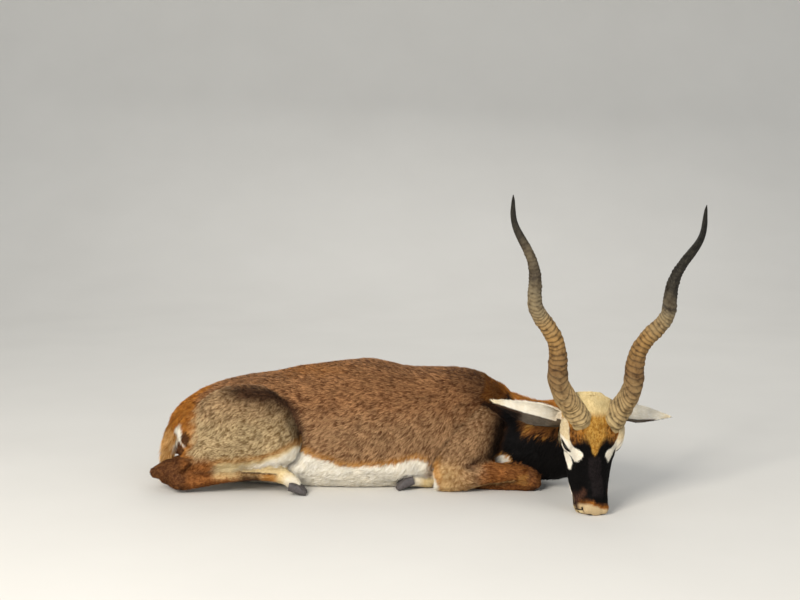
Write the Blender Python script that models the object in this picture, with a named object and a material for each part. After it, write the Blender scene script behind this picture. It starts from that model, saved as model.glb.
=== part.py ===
"""A male blackbuck at life size. It lies on its chest with all four legs folded under, the head turned to
its right and held upright on the tip of the nose, and the two ringed horns twist up and apart.

Metres, +Z up. The trunk runs along X with the head end at +X, and the animal's right side faces -Y. The
origin lies on the floor, in the middle of the flat of the belly. The coat's depth is inside every outline.
"""

import math

import bmesh
import bpy
import numpy as np
from mathutils import Matrix, Vector

# Clearance between two nodes that touch.
GAP = 0.00035

# The skull's frame: the nose tip stands here, the face line leans back, and the face turns about it to +X.
HEAD_AT = Vector((0.4365, -0.297, 0.0015))
FACE_LEAN = math.radians(11.0)
FACE_TURN = math.radians(10.0)
SKULL = (
    Matrix.Translation(HEAD_AT)
    @ Matrix.Rotation(math.pi / 2 - FACE_LEAN, 4, "X")
    @ Matrix.Rotation(FACE_TURN, 4, "Y")
)

# Trunk rings: x, back height, height of the widest level, half width, underside height.
TRUNK = (
    (-0.386, 0.126, 0.100, 0.032, 0.062),
    (-0.374, 0.148, 0.108, 0.060, 0.040),
    (-0.345, 0.175, 0.118, 0.085, 0.024),
    (-0.300, 0.201, 0.125, 0.103, 0.012),
    (-0.240, 0.219, 0.122, 0.112, -0.002),
    (-0.180, 0.231, 0.110, 0.112, -0.010),
    (-0.120, 0.239, 0.102, 0.116, -0.017),
    (-0.050, 0.246, 0.096, 0.121, -0.021),
    (0.020, 0.249, 0.094, 0.123, -0.021),
    (0.090, 0.238, 0.100, 0.118, -0.014),
    (0.150, 0.233, 0.110, 0.110, -0.005),
    (0.205, 0.229, 0.112, 0.101, 0.003),
    (0.245, 0.211, 0.108, 0.090, 0.006),
    (0.275, 0.186, 0.102, 0.076, 0.010),
    (0.298, 0.158, 0.095, 0.050, 0.022),
)
# The trunk rolls this much about its long axis, which shows the belly to -Y and lowers the left side.
ROLL = math.radians(7.0)
ROLL_AT = Matrix.Translation((0, 0, 0.10))
ROLLED = ROLL_AT @ Matrix.Rotation(-ROLL, 4, "X") @ ROLL_AT.inverted()

# Neck rings: x, y, z, half width, reach up, reach down.
NECK = (
    (0.170, 0.000, 0.118, 0.088, 0.088, 0.098),
    (0.235, -0.002, 0.112, 0.086, 0.086, 0.100),
    (0.290, -0.014, 0.102, 0.078, 0.078, 0.094),
    (0.340, -0.042, 0.098, 0.070, 0.072, 0.090),
    (0.386, -0.080, 0.106, 0.065, 0.072, 0.084),
    (0.414, -0.120, 0.125, 0.061, 0.071, 0.076),
    (0.428, -0.155, 0.144, 0.055, 0.061, 0.064),
    (0.430, -0.190, 0.158, 0.045, 0.047, 0.048),
)
NECK_BASE_AT = Vector((0.262, 0.0, 0.11))
NECK_BASE_FACES = Vector((0.96, -0.20, 0.10))

# Skull rings in the head's frame, nose to poll: y, face level, level of the widest, half width, jaw level.
SKULL_RINGS = (
    (-0.001, -0.009, -0.020, 0.0135, -0.031),
    (0.006, -0.001, -0.020, 0.0220, -0.042),
    (0.018, 0.0035, -0.022, 0.0262, -0.049),
    (0.038, 0.0050, -0.026, 0.0268, -0.056),
    (0.063, 0.0060, -0.033, 0.0312, -0.068),
    (0.090, 0.0070, -0.039, 0.0380, -0.081),
    (0.115, 0.0085, -0.044, 0.0472, -0.093),
    (0.140, 0.0095, -0.046, 0.0515, -0.104),
    (0.165, 0.0065, -0.047, 0.0530, -0.110),
    (0.190, -0.0020, -0.051, 0.0515, -0.110),
    (0.212, -0.0180, -0.062, 0.0470, -0.104),
    (0.230, -0.0400, -0.066, 0.0330, -0.092),
)
# Masses set on each side of the skull: x, y, z, radius across, radius along, radius in depth.
BROW = (0.0455, 0.1555, -0.0260, 0.0168, 0.0375, 0.0210)
CHEEK = (0.0310, 0.1480, -0.0740, 0.0200, 0.0360, 0.0300)
PEDICEL = (0.0340, 0.1810, -0.0260, 0.0190, 0.0240, 0.0260)
LIP = (0.0160, 0.0160, -0.0270, 0.0110, 0.0170, 0.0110)
NOSTRIL_WING = (0.0130, 0.0110, -0.0080, 0.0090, 0.0120, 0.0090)
CHIN = (0.0, 0.0180, -0.0440, 0.0130, 0.0150, 0.0080)

# The lower jaw is set this far to the head's right, from these levels down and from the cheek to the chin.
JAW_SHIFT = 0.012
JAW_SHIFT_LEVELS = (-0.012, -0.038)
JAW_SHIFT_REACH = (0.120, 0.070)

# The eyes, half closed: centre, how it looks, half length and half height of the opening, and its slant.
EYE_AT = (0.0410, 0.1335, -0.0320)
EYE_RADIUS = 0.0145
LID_RADIUS = 0.0170
EYE_LOOKS = Vector((0.80, -0.28, 0.53)).normalized()
EYE_OPENING = (0.0125, 0.0044)
EYE_SLANT = math.radians(38.0)

# Each horn: where its axis leaves the skull, its tip, and how far the axis bows outward and where.
HORNS = {
    "right": ((0.4080, -0.2470, 0.1750), (0.294, 0.000, 0.586), (0.0110, 0.65)),
    "left": ((0.4680, -0.2360, 0.1710), (0.696, 0.000, 0.564), (0.0060, 1.50)),
}
# Half turns made at shares of the length: 0 is outermost, 1 innermost. It starts in front.
HORN_TURNS = ((0.0, -0.45), (0.15, 0.0), (0.31, 1.0), (0.49, 2.0), (0.675, 3.0), (0.862, 4.0), (1.0, 4.7))
HORN_TWIST_RADIUS = 0.0106
HORN_SUNK = Vector((0.0, 0.008, -0.024))
# Horn half thickness at shares of its length.
HORN_TAPER = (
    (0.00, 0.0212),
    (0.15, 0.0187),
    (0.28, 0.0168),
    (0.40, 0.0152),
    (0.50, 0.0143),
    (0.62, 0.0119),
    (0.72, 0.0094),
    (0.82, 0.0075),
    (0.92, 0.0056),
    (0.98, 0.0030),
    (1.00, 0.0006),
)
HORN_RIDGES = 31
HORN_RINGED_SHARE = 0.74
HORN_RIDGE_HEIGHT = 0.0012
HORN_SIDES = 11

# Each ear: root, tip, the way its cup faces, and its widest half width.
EARS = {
    "right": ((0.381, -0.210, 0.1665), (0.2445, -0.190, 0.1990), (0.10, -0.93, 0.36), 0.0225),
    "left": ((0.477, -0.192, 0.1765), (0.6010, -0.125, 0.1545), (0.35, -0.76, 0.55), 0.0198),
}
EAR_THICKNESS = 0.0028
EAR_STEM = 0.0132
EAR_STEM_SUNK = 0.016
EAR_STEM_OUT = 0.010

# Hind leg, right side: thigh and calf masses, then rings of hock and cannon (x, y, z, half width, up, down).
HAUNCH = (
    ((-0.232, -0.082, 0.127), (0.114, 0.060, 0.085), 6.0),
    ((-0.318, -0.062, 0.112), (0.060, 0.048, 0.058), -20.0),
    ((-0.168, -0.104, 0.103), (0.050, 0.040, 0.052), 0.0),
    ((-0.250, -0.104, 0.092), (0.095, 0.040, 0.049), -4.0),
)
CALF = (
    (-0.255, -0.100, 0.090, 0.036, 0.040, 0.052),
    (-0.312, -0.106, 0.076, 0.027, 0.031, 0.042),
    (-0.356, -0.110, 0.060, 0.018, 0.022, 0.028),
)
HOCK = (
    (-0.335, -0.108, 0.070, 0.016, 0.017, 0.024),
    (-0.365, -0.112, 0.056, 0.019, 0.022, 0.024),
    (-0.382, -0.114, 0.038, 0.0195, 0.022, 0.022),
    (-0.366, -0.118, 0.023, 0.0175, 0.020, 0.022),
    (-0.328, -0.122, 0.026, 0.0150, 0.0145, 0.0165),
    (-0.270, -0.126, 0.033, 0.0110, 0.0110, 0.0115),
    (-0.205, -0.128, 0.038, 0.0115, 0.0110, 0.0115),
    (-0.165, -0.130, 0.038, 0.0155, 0.0140, 0.0150),
    (-0.143, -0.132, 0.026, 0.0150, 0.0120, 0.0125),
    (-0.136, -0.133, 0.016, 0.0150, 0.0120, 0.0125),
)
HEEL = ((-0.423, -0.110, 0.037, 0.009, 0.010, 0.010), (-0.383, -0.112, 0.050, 0.015, 0.020, 0.024))
HIND_HOOF = ((-0.148, -0.133, 0.0180), (1.0, -0.08, -0.30), (0.0, 0.0, 1.0))

# Foreleg, right side: arm and forearm, then rings from knee to pastern.
ARM = (
    (0.258, -0.046, 0.136, 0.050, 0.050, 0.050),
    (0.222, -0.070, 0.096, 0.050, 0.053, 0.053),
    (0.180, -0.090, 0.058, 0.042, 0.044, 0.050),
    (0.150, -0.098, 0.034, 0.030, 0.028, 0.036),
)
FOREARM = (
    (0.140, -0.100, 0.030, 0.026, 0.024, 0.032),
    (0.190, -0.106, 0.034, 0.029, 0.026, 0.034),
    (0.250, -0.106, 0.037, 0.024, 0.0215, 0.022),
    (0.300, -0.102, 0.036, 0.0195, 0.0175, 0.020),
    (0.322, -0.100, 0.033, 0.0180, 0.0150, 0.018),
)
KNEE = (
    (0.300, -0.1010, 0.0300, 0.0175, 0.0130, 0.0150),
    (0.3250, -0.1000, 0.0290, 0.0185, 0.0160, 0.0190),
    (0.3360, -0.0995, 0.0180, 0.0165, 0.0160, 0.0190),
    (0.3180, -0.0980, 0.0095, 0.0150, 0.0110, 0.0130),
    (0.2600, -0.0930, 0.0090, 0.0115, 0.0095, 0.0110),
    (0.1800, -0.0800, 0.0095, 0.0110, 0.0095, 0.0110),
    (0.1200, -0.0800, 0.0150, 0.0140, 0.0130, 0.0150),
    (0.0980, -0.0880, 0.0190, 0.0145, 0.0135, 0.0140),
    (0.0860, -0.0910, 0.0180, 0.0140, 0.0130, 0.0130),
)
FORE_HOOF = ((0.0960, -0.0920, 0.0200), (-0.96, -0.16, -0.36), (-0.30, 0.0, 0.95))

# One claw of a hoof, from the heel at 0 to the toe: share of its length, half width, height over the sole.
CLAW = (
    (0.00, 0.0062, 0.0165),
    (0.30, 0.0078, 0.0180),
    (0.60, 0.0072, 0.0140),
    (0.88, 0.0042, 0.0070),
    (1.00, 0.0012, 0.0025),
)
CLAW_LENGTH = 0.043
CLAW_SPREAD = 0.0090

TAIL = (
    (-0.340, 0.000, 0.150, 0.0170, 0.0130, 0.0130),
    (-0.372, -0.004, 0.136, 0.0170, 0.0125, 0.0125),
    (-0.392, -0.010, 0.108, 0.0165, 0.0105, 0.0105),
    (-0.402, -0.016, 0.074, 0.0160, 0.0090, 0.0090),
    (-0.408, -0.020, 0.040, 0.0120, 0.0075, 0.0075),
    (-0.411, -0.022, 0.010, 0.0040, 0.0035, 0.0035),
)

# Triangles that each node is brought down to.
TRIANGLES = {
    "head": 2620,
    "torso": 1060,
    "neck": 460,
    "ear": 350,
    "haunch": 400,
    "hock": 300,
    "arm": 300,
    "knee": 300,
    "tail": 150,
}

COAT_BROWN = (0.150, 0.075, 0.035)
COAT_BLACK = (0.020, 0.014, 0.011)
COAT_TAN = (0.420, 0.240, 0.110)
COAT_WHITE = (0.780, 0.730, 0.640)
HORN_BROWN = (0.190, 0.140, 0.095)
HOOF_BLACK = (0.030, 0.026, 0.024)
EYE_DARK = (0.018, 0.011, 0.007)


def material(name, colour, roughness, metallic=0.0):
    made = bpy.data.materials.new(name)
    made.use_nodes = True
    shader = made.node_tree.nodes["Principled BSDF"]
    shader.inputs["Base Color"].default_value = (*colour, 1.0)
    shader.inputs["Roughness"].default_value = roughness
    shader.inputs["Metallic"].default_value = metallic
    return made


def resampled(rows, count):
    """The rows' columns as smooth curves, read at count even steps."""
    rows = np.array(rows, float)
    padded = np.vstack([2 * rows[0] - rows[1], rows, 2 * rows[-1] - rows[-2]])
    out = []
    for at in np.linspace(0, len(rows) - 1, count):
        i = min(int(at), len(rows) - 2)
        t = at - i
        a, b, c, d = padded[i : i + 4]
        curve = 2 * b + (c - a) * t + (2 * a - 5 * b + 4 * c - d) * t**2 + (3 * b - a - 3 * c + d) * t**3
        out.append(0.5 * curve)
    return out


def ring_edges(ring):
    inside = set(ring)
    return list({e for v in ring for e in v.link_edges if e.other_vert(v) in inside})


def tube(rows, sides=20, level=Vector((0, 0, 1)), squareness=2.0):
    """A closed tube through rings given as x, y, z, half width, reach up and reach down, square to its path.
    squareness is the power of the ring's outline, 2 for an ellipse."""
    bm = bmesh.new()
    centres = [Vector(row[:3]) for row in rows]
    rings = []
    for i, row in enumerate(rows):
        along = (centres[min(i + 1, len(rows) - 1)] - centres[max(i - 1, 0)]).normalized()
        across = along.cross(level).normalized()
        up = across.cross(along)
        turned = Matrix((across, up, along)).transposed().to_4x4()
        ring = bmesh.ops.create_circle(bm, cap_ends=False, segments=sides, radius=1)["verts"]
        for v in ring:
            x, y = v.co.x, v.co.y
            swell = (abs(x) ** squareness + abs(y) ** squareness) ** (-1 / squareness)
            v.co = (x * swell * row[3], y * swell * (row[4] if y > 0 else row[5]), 0)
        bmesh.ops.transform(bm, matrix=Matrix.Translation(centres[i]) @ turned, verts=ring)
        rings.append(ring)
    for a, b in zip(rings, rings[1:]):
        bmesh.ops.bridge_loops(bm, edges=ring_edges(a) + ring_edges(b))
    for ring in (rings[0], rings[-1]):
        bmesh.ops.contextual_create(bm, geom=ring)
    ends = [f for f in bm.faces if len(f.verts) > 4]
    bmesh.ops.poke(bm, faces=ends)
    return finished(bm)


def ball(centre, radii, turn_deg=0.0, detail=3):
    """An ellipsoid, turned about its y axis."""
    bm = bmesh.new()
    placed = (
        Matrix.Translation(centre)
        @ Matrix.Rotation(math.radians(turn_deg), 4, "Y")
        @ Matrix.Diagonal((*radii, 1))
    )
    bmesh.ops.create_icosphere(bm, subdivisions=detail, radius=1, matrix=placed)
    return finished(bm)


def finished(bm):
    """The bmesh as a closed mesh with its faces out."""
    bmesh.ops.recalc_face_normals(bm, faces=bm.faces)
    if bm.calc_volume(signed=True) < 0:
        bmesh.ops.reverse_faces(bm, faces=bm.faces)
    mesh = bpy.data.meshes.new("form")
    bm.to_mesh(mesh)
    bm.free()
    return mesh


def read(mesh):
    bm = bmesh.new()
    bm.from_mesh(mesh)
    return bm


def joined(meshes):
    bm = bmesh.new()
    for mesh in meshes:
        bm.from_mesh(mesh)
    mesh = bpy.data.meshes.new("joined")
    bm.to_mesh(mesh)
    bm.free()
    return mesh


def changed(mesh, *settings):
    """The mesh after the modifiers given as (type, values)."""
    holder = bpy.data.objects.new("holder", mesh)
    bpy.context.scene.collection.objects.link(holder)
    for kind, values in settings:
        modifier = holder.modifiers.new(kind.lower(), kind)
        for key, value in values.items():
            setattr(modifier, key, value)
    bpy.context.view_layer.update()
    graph = bpy.context.evaluated_depsgraph_get()
    made = bpy.data.meshes.new_from_object(holder.evaluated_get(graph))
    bpy.data.objects.remove(holder)
    return made


def fused(forms, voxel, rounds, factor=0.5):
    """Overlapping closed forms as one smooth skin."""
    return changed(
        joined(forms),
        ("REMESH", {"mode": "VOXEL", "voxel_size": voxel, "adaptivity": 0.0}),
        ("SMOOTH", {"factor": factor, "iterations": rounds}),
    )


def reduced(mesh, triangles):
    """The mesh brought down to about that many triangles, more of them where it bends."""
    bm = read(mesh)
    bmesh.ops.triangulate(bm, faces=bm.faces)
    share = min(1.0, triangles / len(bm.faces))
    bm.to_mesh(mesh)
    bm.free()
    return largest(changed(mesh, ("DECIMATE", {"ratio": share, "use_collapse_triangulate": True})))


def largest(mesh):
    """Only the closed surface of most volume is kept."""
    bm = read(mesh)
    left, shells = set(bm.faces), []
    while left:
        shell, edge = set(), [left.pop()]
        while edge:
            face = edge.pop()
            shell.add(face)
            for e in face.edges:
                for other in e.link_faces:
                    if other in left:
                        left.remove(other)
                        edge.append(other)
        shells.append(shell)
    shells.sort(key=lambda s: sum(f.calc_area() for f in s))
    bmesh.ops.delete(bm, geom=[f for s in shells[:-1] for f in s], context="FACES")
    bmesh.ops.delete(bm, geom=[v for v in bm.verts if not v.link_faces], context="VERTS")
    bm.to_mesh(mesh)
    bm.free()
    return mesh


def grown(mesh, by=GAP):
    """A copy swollen along its normals, to cut a neighbour clear of it."""
    bm = read(mesh)
    bm.normal_update()
    moves = [(v, v.co + v.normal * by * v.calc_shell_factor()) for v in bm.verts]
    for v, place in moves:
        v.co = place
    return finished(bm)


def volume(mesh):
    bm = read(mesh)
    held = bm.calc_volume()
    bm.free()
    return held


def cut(mesh, *neighbours):
    """The mesh less each neighbour and the gap round it."""
    for neighbour in neighbours:
        cutter = bpy.data.objects.new("cutter", grown(neighbour))
        bpy.context.scene.collection.objects.link(cutter)
        least = 0.999 * (volume(mesh) - volume(cutter.data))
        for solver in ("EXACT", "MANIFOLD"):
            made = changed(mesh, ("BOOLEAN", {"operation": "DIFFERENCE", "solver": solver, "object": cutter}))
            if volume(made) > least:
                break
        bpy.data.objects.remove(cutter)
        mesh = made
    return largest(mesh)


def sliced(mesh, at, faces):
    """The part of the mesh behind a plane, closed flat."""
    bm = read(mesh)
    everything = [*bm.verts, *bm.edges, *bm.faces]
    bmesh.ops.bisect_plane(bm, geom=everything, dist=1e-6, plane_co=at, plane_no=faces, clear_outer=True)
    rim = [e for e in bm.edges if e.is_boundary]
    if rim:
        filled = bmesh.ops.triangle_fill(bm, edges=rim, use_beauty=True, use_dissolve=False)
        assert filled["geom"]
    bmesh.ops.dissolve_degenerate(bm, edges=bm.edges, dist=1e-6)
    bmesh.ops.triangulate(bm, faces=bm.faces)
    return finished(bm)


def rested(mesh):
    """The mesh cut level with the floor, which leaves small flats."""
    return largest(sliced(mesh, (0, 0, 0), (0, 0, -1)))


def mirrored(rows, side):
    """Rings or placings of the right leg, for that side: -1 right, 1 left."""
    return [(row[0], -side * row[1], *row[2:]) for row in rows]


def node(name, mesh, finish):
    obj = bpy.data.objects.new(name, mesh)
    bpy.context.scene.collection.objects.link(obj)
    mesh.materials.clear()
    mesh.materials.append(finish)
    mesh.shade_smooth()
    mesh.set_sharp_from_angle(angle=math.radians(50))
    return obj


def points_of(mesh):
    """Vertex places and normals as arrays."""
    co = np.empty(len(mesh.vertices) * 3, np.float32)
    no = np.empty(len(mesh.vertices) * 3, np.float32)
    mesh.vertices.foreach_get("co", co)
    mesh.vertex_normals.foreach_get("vector", no)
    return co.reshape(-1, 3).astype(float), no.reshape(-1, 3).astype(float)


def distance_to_line(points, line):
    """Distance from each point to the nearest place on a line of straight runs."""
    best = np.full(len(points), 9.0)
    for a, b in zip(line, line[1:]):
        a, run = np.array(a, float), np.array(b, float) - np.array(a, float)
        t = np.clip((points - a) @ run / (run @ run), 0, 1)
        best = np.minimum(best, np.linalg.norm(points - a - t[:, None] * run, axis=1))
    return best


def pressed(mesh, line, width, depth, both_sides=True):
    """A groove of that depth along a line, or a ridge where depth is below 0, fading over width."""
    co, normals = points_of(mesh)
    lines = [line]
    if both_sides:
        lines.append([(-x, y, z) for x, y, z in line])
    for one in lines:
        share = np.exp(-((distance_to_line(co, one) / width) ** 2))
        co -= normals * (depth * share)[:, None]
    mesh.vertices.foreach_set("co", co.astype(np.float32).ravel())
    mesh.update()
    return mesh


def both(mass):
    """One mass on each side of the skull."""
    x, y, z, *radii = mass
    return [ball((side * x, y, z), radii) for side in (-1, 1)]


# Lines pressed into the head, in its frame, for its left side.
MOUTH_LINE = (
    (0.0000, 0.0030, -0.0345),
    (0.0120, 0.0050, -0.0335),
    (0.0225, 0.0200, -0.0360),
    (0.0265, 0.0440, -0.0430),
    (0.0290, 0.0600, -0.0480),
)
NOSTRIL_LINE = (
    (0.0080, 0.0010, -0.0095),
    (0.0120, 0.0050, -0.0040),
    (0.0180, 0.0150, -0.0030),
    (0.0215, 0.0200, -0.0080),
)
NOSE_GROOVE = ((0.0, -0.002, -0.012), (0.0, -0.002, -0.030))
TEAR_LINE = ((0.0365, 0.1080, -0.0200), (0.0345, 0.0960, -0.0210), (0.0325, 0.0880, -0.0240))
JAW_LINE = ((0.0290, 0.0700, -0.0560), (0.0350, 0.1050, -0.0640), (0.0380, 0.1250, -0.0700))
NOSE_BRIDGE = ((0.0150, 0.0450, 0.0), (0.0170, 0.0800, 0.002), (0.0210, 0.1100, 0.003))


def eye_frame(side):
    """The eye's own frame: x along its opening, y across it, z the way it looks."""
    looks = Vector((side * EYE_LOOKS.x, EYE_LOOKS.y, EYE_LOOKS.z))
    along = Vector((side * math.sin(EYE_SLANT), math.cos(EYE_SLANT), 0))
    along = (along - looks * along.dot(looks)).normalized()
    turned = Matrix((along, looks.cross(along), looks)).transposed().to_4x4()
    return Matrix.Translation((side * EYE_AT[0], EYE_AT[1], EYE_AT[2])) @ turned


def eyeball(side):
    bm = bmesh.new()
    placed = SKULL @ eye_frame(side)
    bmesh.ops.create_uvsphere(bm, u_segments=16, v_segments=10, radius=EYE_RADIUS, matrix=placed)
    return finished(bm)


def eye_opening(side):
    """The pointed oval between the lids, as a prism that cuts through them to the ball."""
    bm = bmesh.new()
    outline = bmesh.ops.create_circle(bm, cap_ends=True, segments=20, radius=1)["verts"]
    for v in outline:
        pointed = 1 - 0.30 * abs(v.co.x) ** 3
        v.co = (v.co.x * EYE_OPENING[0], v.co.y * EYE_OPENING[1] * pointed, EYE_RADIUS * 0.45)
    lid = bmesh.ops.extrude_face_region(bm, geom=bm.faces[:])["geom"]
    far = [v for v in lid if isinstance(v, bmesh.types.BMVert)]
    bmesh.ops.translate(bm, vec=(0, 0, EYE_RADIUS * 1.6), verts=far)
    bmesh.ops.transform(bm, matrix=SKULL @ eye_frame(side), verts=bm.verts)
    return finished(bm)


def eased(start, end, values):
    """Rises smoothly from 0 at start to 1 at end."""
    t = np.clip((values - start) / (end - start), 0, 1)
    return t * t * (3 - 2 * t)


def jaw_shifted(mesh):
    """The mesh with its lower jaw carried to the head's right."""
    co, _ = points_of(mesh)
    share = eased(*JAW_SHIFT_LEVELS, co[:, 2]) * eased(*JAW_SHIFT_REACH, co[:, 1])
    co[:, 0] -= JAW_SHIFT * share
    mesh.vertices.foreach_set("co", co.astype(np.float32).ravel())
    mesh.update()
    return mesh


def head_form():
    rows = [(0, y, mid, wide, top - mid, mid - low) for y, top, mid, wide, low in SKULL_RINGS]
    forms = [tube(resampled(rows, 40), sides=28, squareness=2.25)]
    for mass in (BROW, CHEEK, PEDICEL, LIP, NOSTRIL_WING):
        forms += both(mass)
    forms.append(ball(CHIN[:3], CHIN[3:]))
    for side in (-1, 1):
        forms.append(ball(eye_frame(side).to_translation(), (LID_RADIUS,) * 3))
    skin = fused(forms, voxel=0.0018, rounds=9)
    pressed(skin, MOUTH_LINE, 0.0026, 0.0038)
    pressed(skin, [(x, y, z - 0.006) for x, y, z in MOUTH_LINE[1:]], 0.0040, -0.0010)
    pressed(skin, NOSTRIL_LINE, 0.0028, 0.0045)
    pressed(skin, NOSE_GROOVE, 0.0016, 0.0014, both_sides=False)
    pressed(skin, TEAR_LINE, 0.0030, 0.0022)
    pressed(skin, JAW_LINE, 0.0090, 0.0022)
    pressed(skin, NOSE_BRIDGE, 0.0060, -0.0010)
    jaw_shifted(skin)
    skin = reduced(skin, TRIANGLES["head"])
    skin.transform(SKULL)
    return rested(skin)


def horn_line(which, share):
    """A point on the middle line of a horn, share of the way from the skull to the tip."""
    root, tip, (bow, bow_at) = HORNS[which]
    root, tip = Vector(root), Vector(tip)
    axis = (tip - root).normalized()
    outward = Vector((-1 if which == "right" else 1, 0, 0))
    outward = (outward - axis * outward.dot(axis)).normalized()
    forward = Vector((0, -1, 0))
    forward = (forward - axis * forward.dot(axis)).normalized()
    turns = np.polyval(np.polyfit(*np.transpose(HORN_TURNS), 4), share)
    radius = HORN_TWIST_RADIUS * (1 - 0.35 * share)
    out = bow * math.sin(math.pi * share**bow_at) + radius * math.cos(math.pi * turns)
    return root.lerp(tip, share) + outward * out - forward * radius * math.sin(math.pi * turns)


def horn(which):
    """A ringed, twisting tube, sunk at its root into the skull."""
    shares = []
    for i in range(HORN_RIDGES):
        start = HORN_RINGED_SHARE * i / HORN_RIDGES
        step = HORN_RINGED_SHARE / HORN_RIDGES
        shares += [start + 0.10 * step, start + 0.60 * step]
    shares += [HORN_RINGED_SHARE + (1 - HORN_RINGED_SHARE) * k / 8 for k in range(9)]
    taper = np.array(HORN_TAPER)
    rows = [(*(horn_line(which, 0) + HORN_SUNK), *(0.8 * taper[0, 1],) * 3)]
    for i, share in enumerate(shares):
        thick = float(np.interp(share, taper[:, 0], taper[:, 1]))
        if i < 2 * HORN_RIDGES:
            fade = 1 - 0.5 * share / HORN_RINGED_SHARE
            thick += HORN_RIDGE_HEIGHT * fade * (-1 if i % 2 else 1)
        rows.append((*horn_line(which, share), thick, thick, thick))
    return tube(rows, sides=HORN_SIDES, level=Vector((1, 0, 0)))


def ear(which):
    """A leaf rolled into a cup, nearly a tube at its root and flat towards its point."""
    root, tip, cup_faces, half_width = EARS[which]
    root, tip = Vector(root), Vector(tip)
    length = (tip - root).length
    along = (tip - root).normalized()
    faces = Vector(cup_faces)
    faces = (faces - along * faces.dot(along)).normalized()
    across = along.cross(faces)
    bm = bmesh.new()
    bmesh.ops.create_grid(bm, x_segments=14, y_segments=30, size=1)
    for v in bm.verts:
        t, s = v.co.x, (v.co.y + 1) / 2
        roll = math.radians(152 - 105 * min(1, s / 0.45) ** 0.8)
        narrowed = max(0.03, 1 - max(0, (s - 0.34) / 0.66) ** 1.55)
        width = half_width * (0.62 + 0.38 * min(1, s / 0.34)) * narrowed
        bend = width / min(1.0, math.sin(min(roll, math.pi / 2)))
        droop = -0.06 * length * math.sin(math.pi * s)
        v.co = (
            root
            + along * length * s
            + across * (bend * math.sin(roll * t) + droop * 0.4)
            + faces * bend * (math.cos(roll) * 0.35 + 0.30 - math.cos(roll * t) * 0.95)
        )
    bmesh.ops.triangulate(bm, faces=bm.faces)
    leaf = bpy.data.meshes.new("leaf")
    bm.to_mesh(leaf)
    bm.free()
    leaf = changed(leaf, ("SOLIDIFY", {"thickness": EAR_THICKNESS, "offset": 0.0, "use_even_offset": True}))
    stem_ends = (root - along * EAR_STEM_SUNK, root + along * EAR_STEM_OUT)
    stem = tube([(*end, EAR_STEM, EAR_STEM, EAR_STEM) for end in stem_ends], sides=16)
    skin = fused([leaf, stem], voxel=0.0014, rounds=4)
    return reduced(skin, TRIANGLES["ear"])


def haunch(side):
    forms = [ball((x, -side * y, z), radii, turn) for (x, y, z), radii, turn in HAUNCH]
    forms.append(tube(resampled(mirrored(CALF, side), 9)))
    skin = fused(forms, voxel=0.004, rounds=6)
    if side > 0:
        skin.transform(ROLLED @ ROLLED)
    return rested(reduced(skin, TRIANGLES["haunch"]))


def hock(side):
    forms = [tube(resampled(mirrored(HOCK, side), 50), sides=16, level=Vector((0, 1, 0)))]
    forms.append(tube(mirrored(HEEL, side), sides=14))
    return rested(reduced(fused(forms, voxel=0.0028, rounds=4), TRIANGLES["hock"]))


def arm(side):
    forms = [tube(resampled(mirrored(ARM, side), 12)), tube(resampled(mirrored(FOREARM, side), 16))]
    return rested(reduced(fused(forms, voxel=0.0035, rounds=6), TRIANGLES["arm"]))


def knee(side):
    forms = [tube(resampled(mirrored(KNEE, side), 50), sides=16, level=Vector((0, 1, 0)))]
    return rested(reduced(fused(forms, voxel=0.0028, rounds=4), TRIANGLES["knee"]))


def claws(placing, side):
    """The two claws of one hoof, each a wedge from heel to toe."""
    at, toe, top = placing
    at = Vector((at[0], -side * at[1], at[2]))
    toe = Vector((toe[0], -side * toe[1], toe[2])).normalized()
    top = Vector(top)
    top = (top - toe * top.dot(toe)).normalized()
    across = toe.cross(top)
    made = []
    for inner in (-1, 1):
        rows = []
        for share, half_width, height in CLAW:
            place = at + toe * CLAW_LENGTH * share + across * inner * CLAW_SPREAD * (1 - 0.12 * share)
            place += top * (height - CLAW[0][2]) * 0.5
            rows.append((*place, half_width, height * 0.5, height * 0.5))
        made.append(rested(tube(resampled(rows, 7), sides=10, level=top, squareness=2.6)))
    return made


def trunk():
    """Trunk and neck as one skin, parted by a thin cut at the neck's base."""
    rows = [(x, 0, mid, wide, top - mid, mid - low) for x, top, mid, wide, low in TRUNK]
    forms = [tube(resampled(rows, 48), sides=32, squareness=2.3)]
    forms[0].transform(ROLLED)
    forms.append(tube(resampled(NECK, 30), sides=28))
    skin = fused(forms, voxel=0.005, rounds=8)
    gap = NECK_BASE_FACES.normalized() * GAP / 2
    torso = reduced(sliced(skin, NECK_BASE_AT, NECK_BASE_FACES), TRIANGLES["torso"])
    neck = reduced(sliced(skin, NECK_BASE_AT, -NECK_BASE_FACES), TRIANGLES["neck"])
    torso = sliced(torso, NECK_BASE_AT - gap, NECK_BASE_FACES)
    return rested(torso), rested(sliced(neck, NECK_BASE_AT + gap, -NECK_BASE_FACES))


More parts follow.
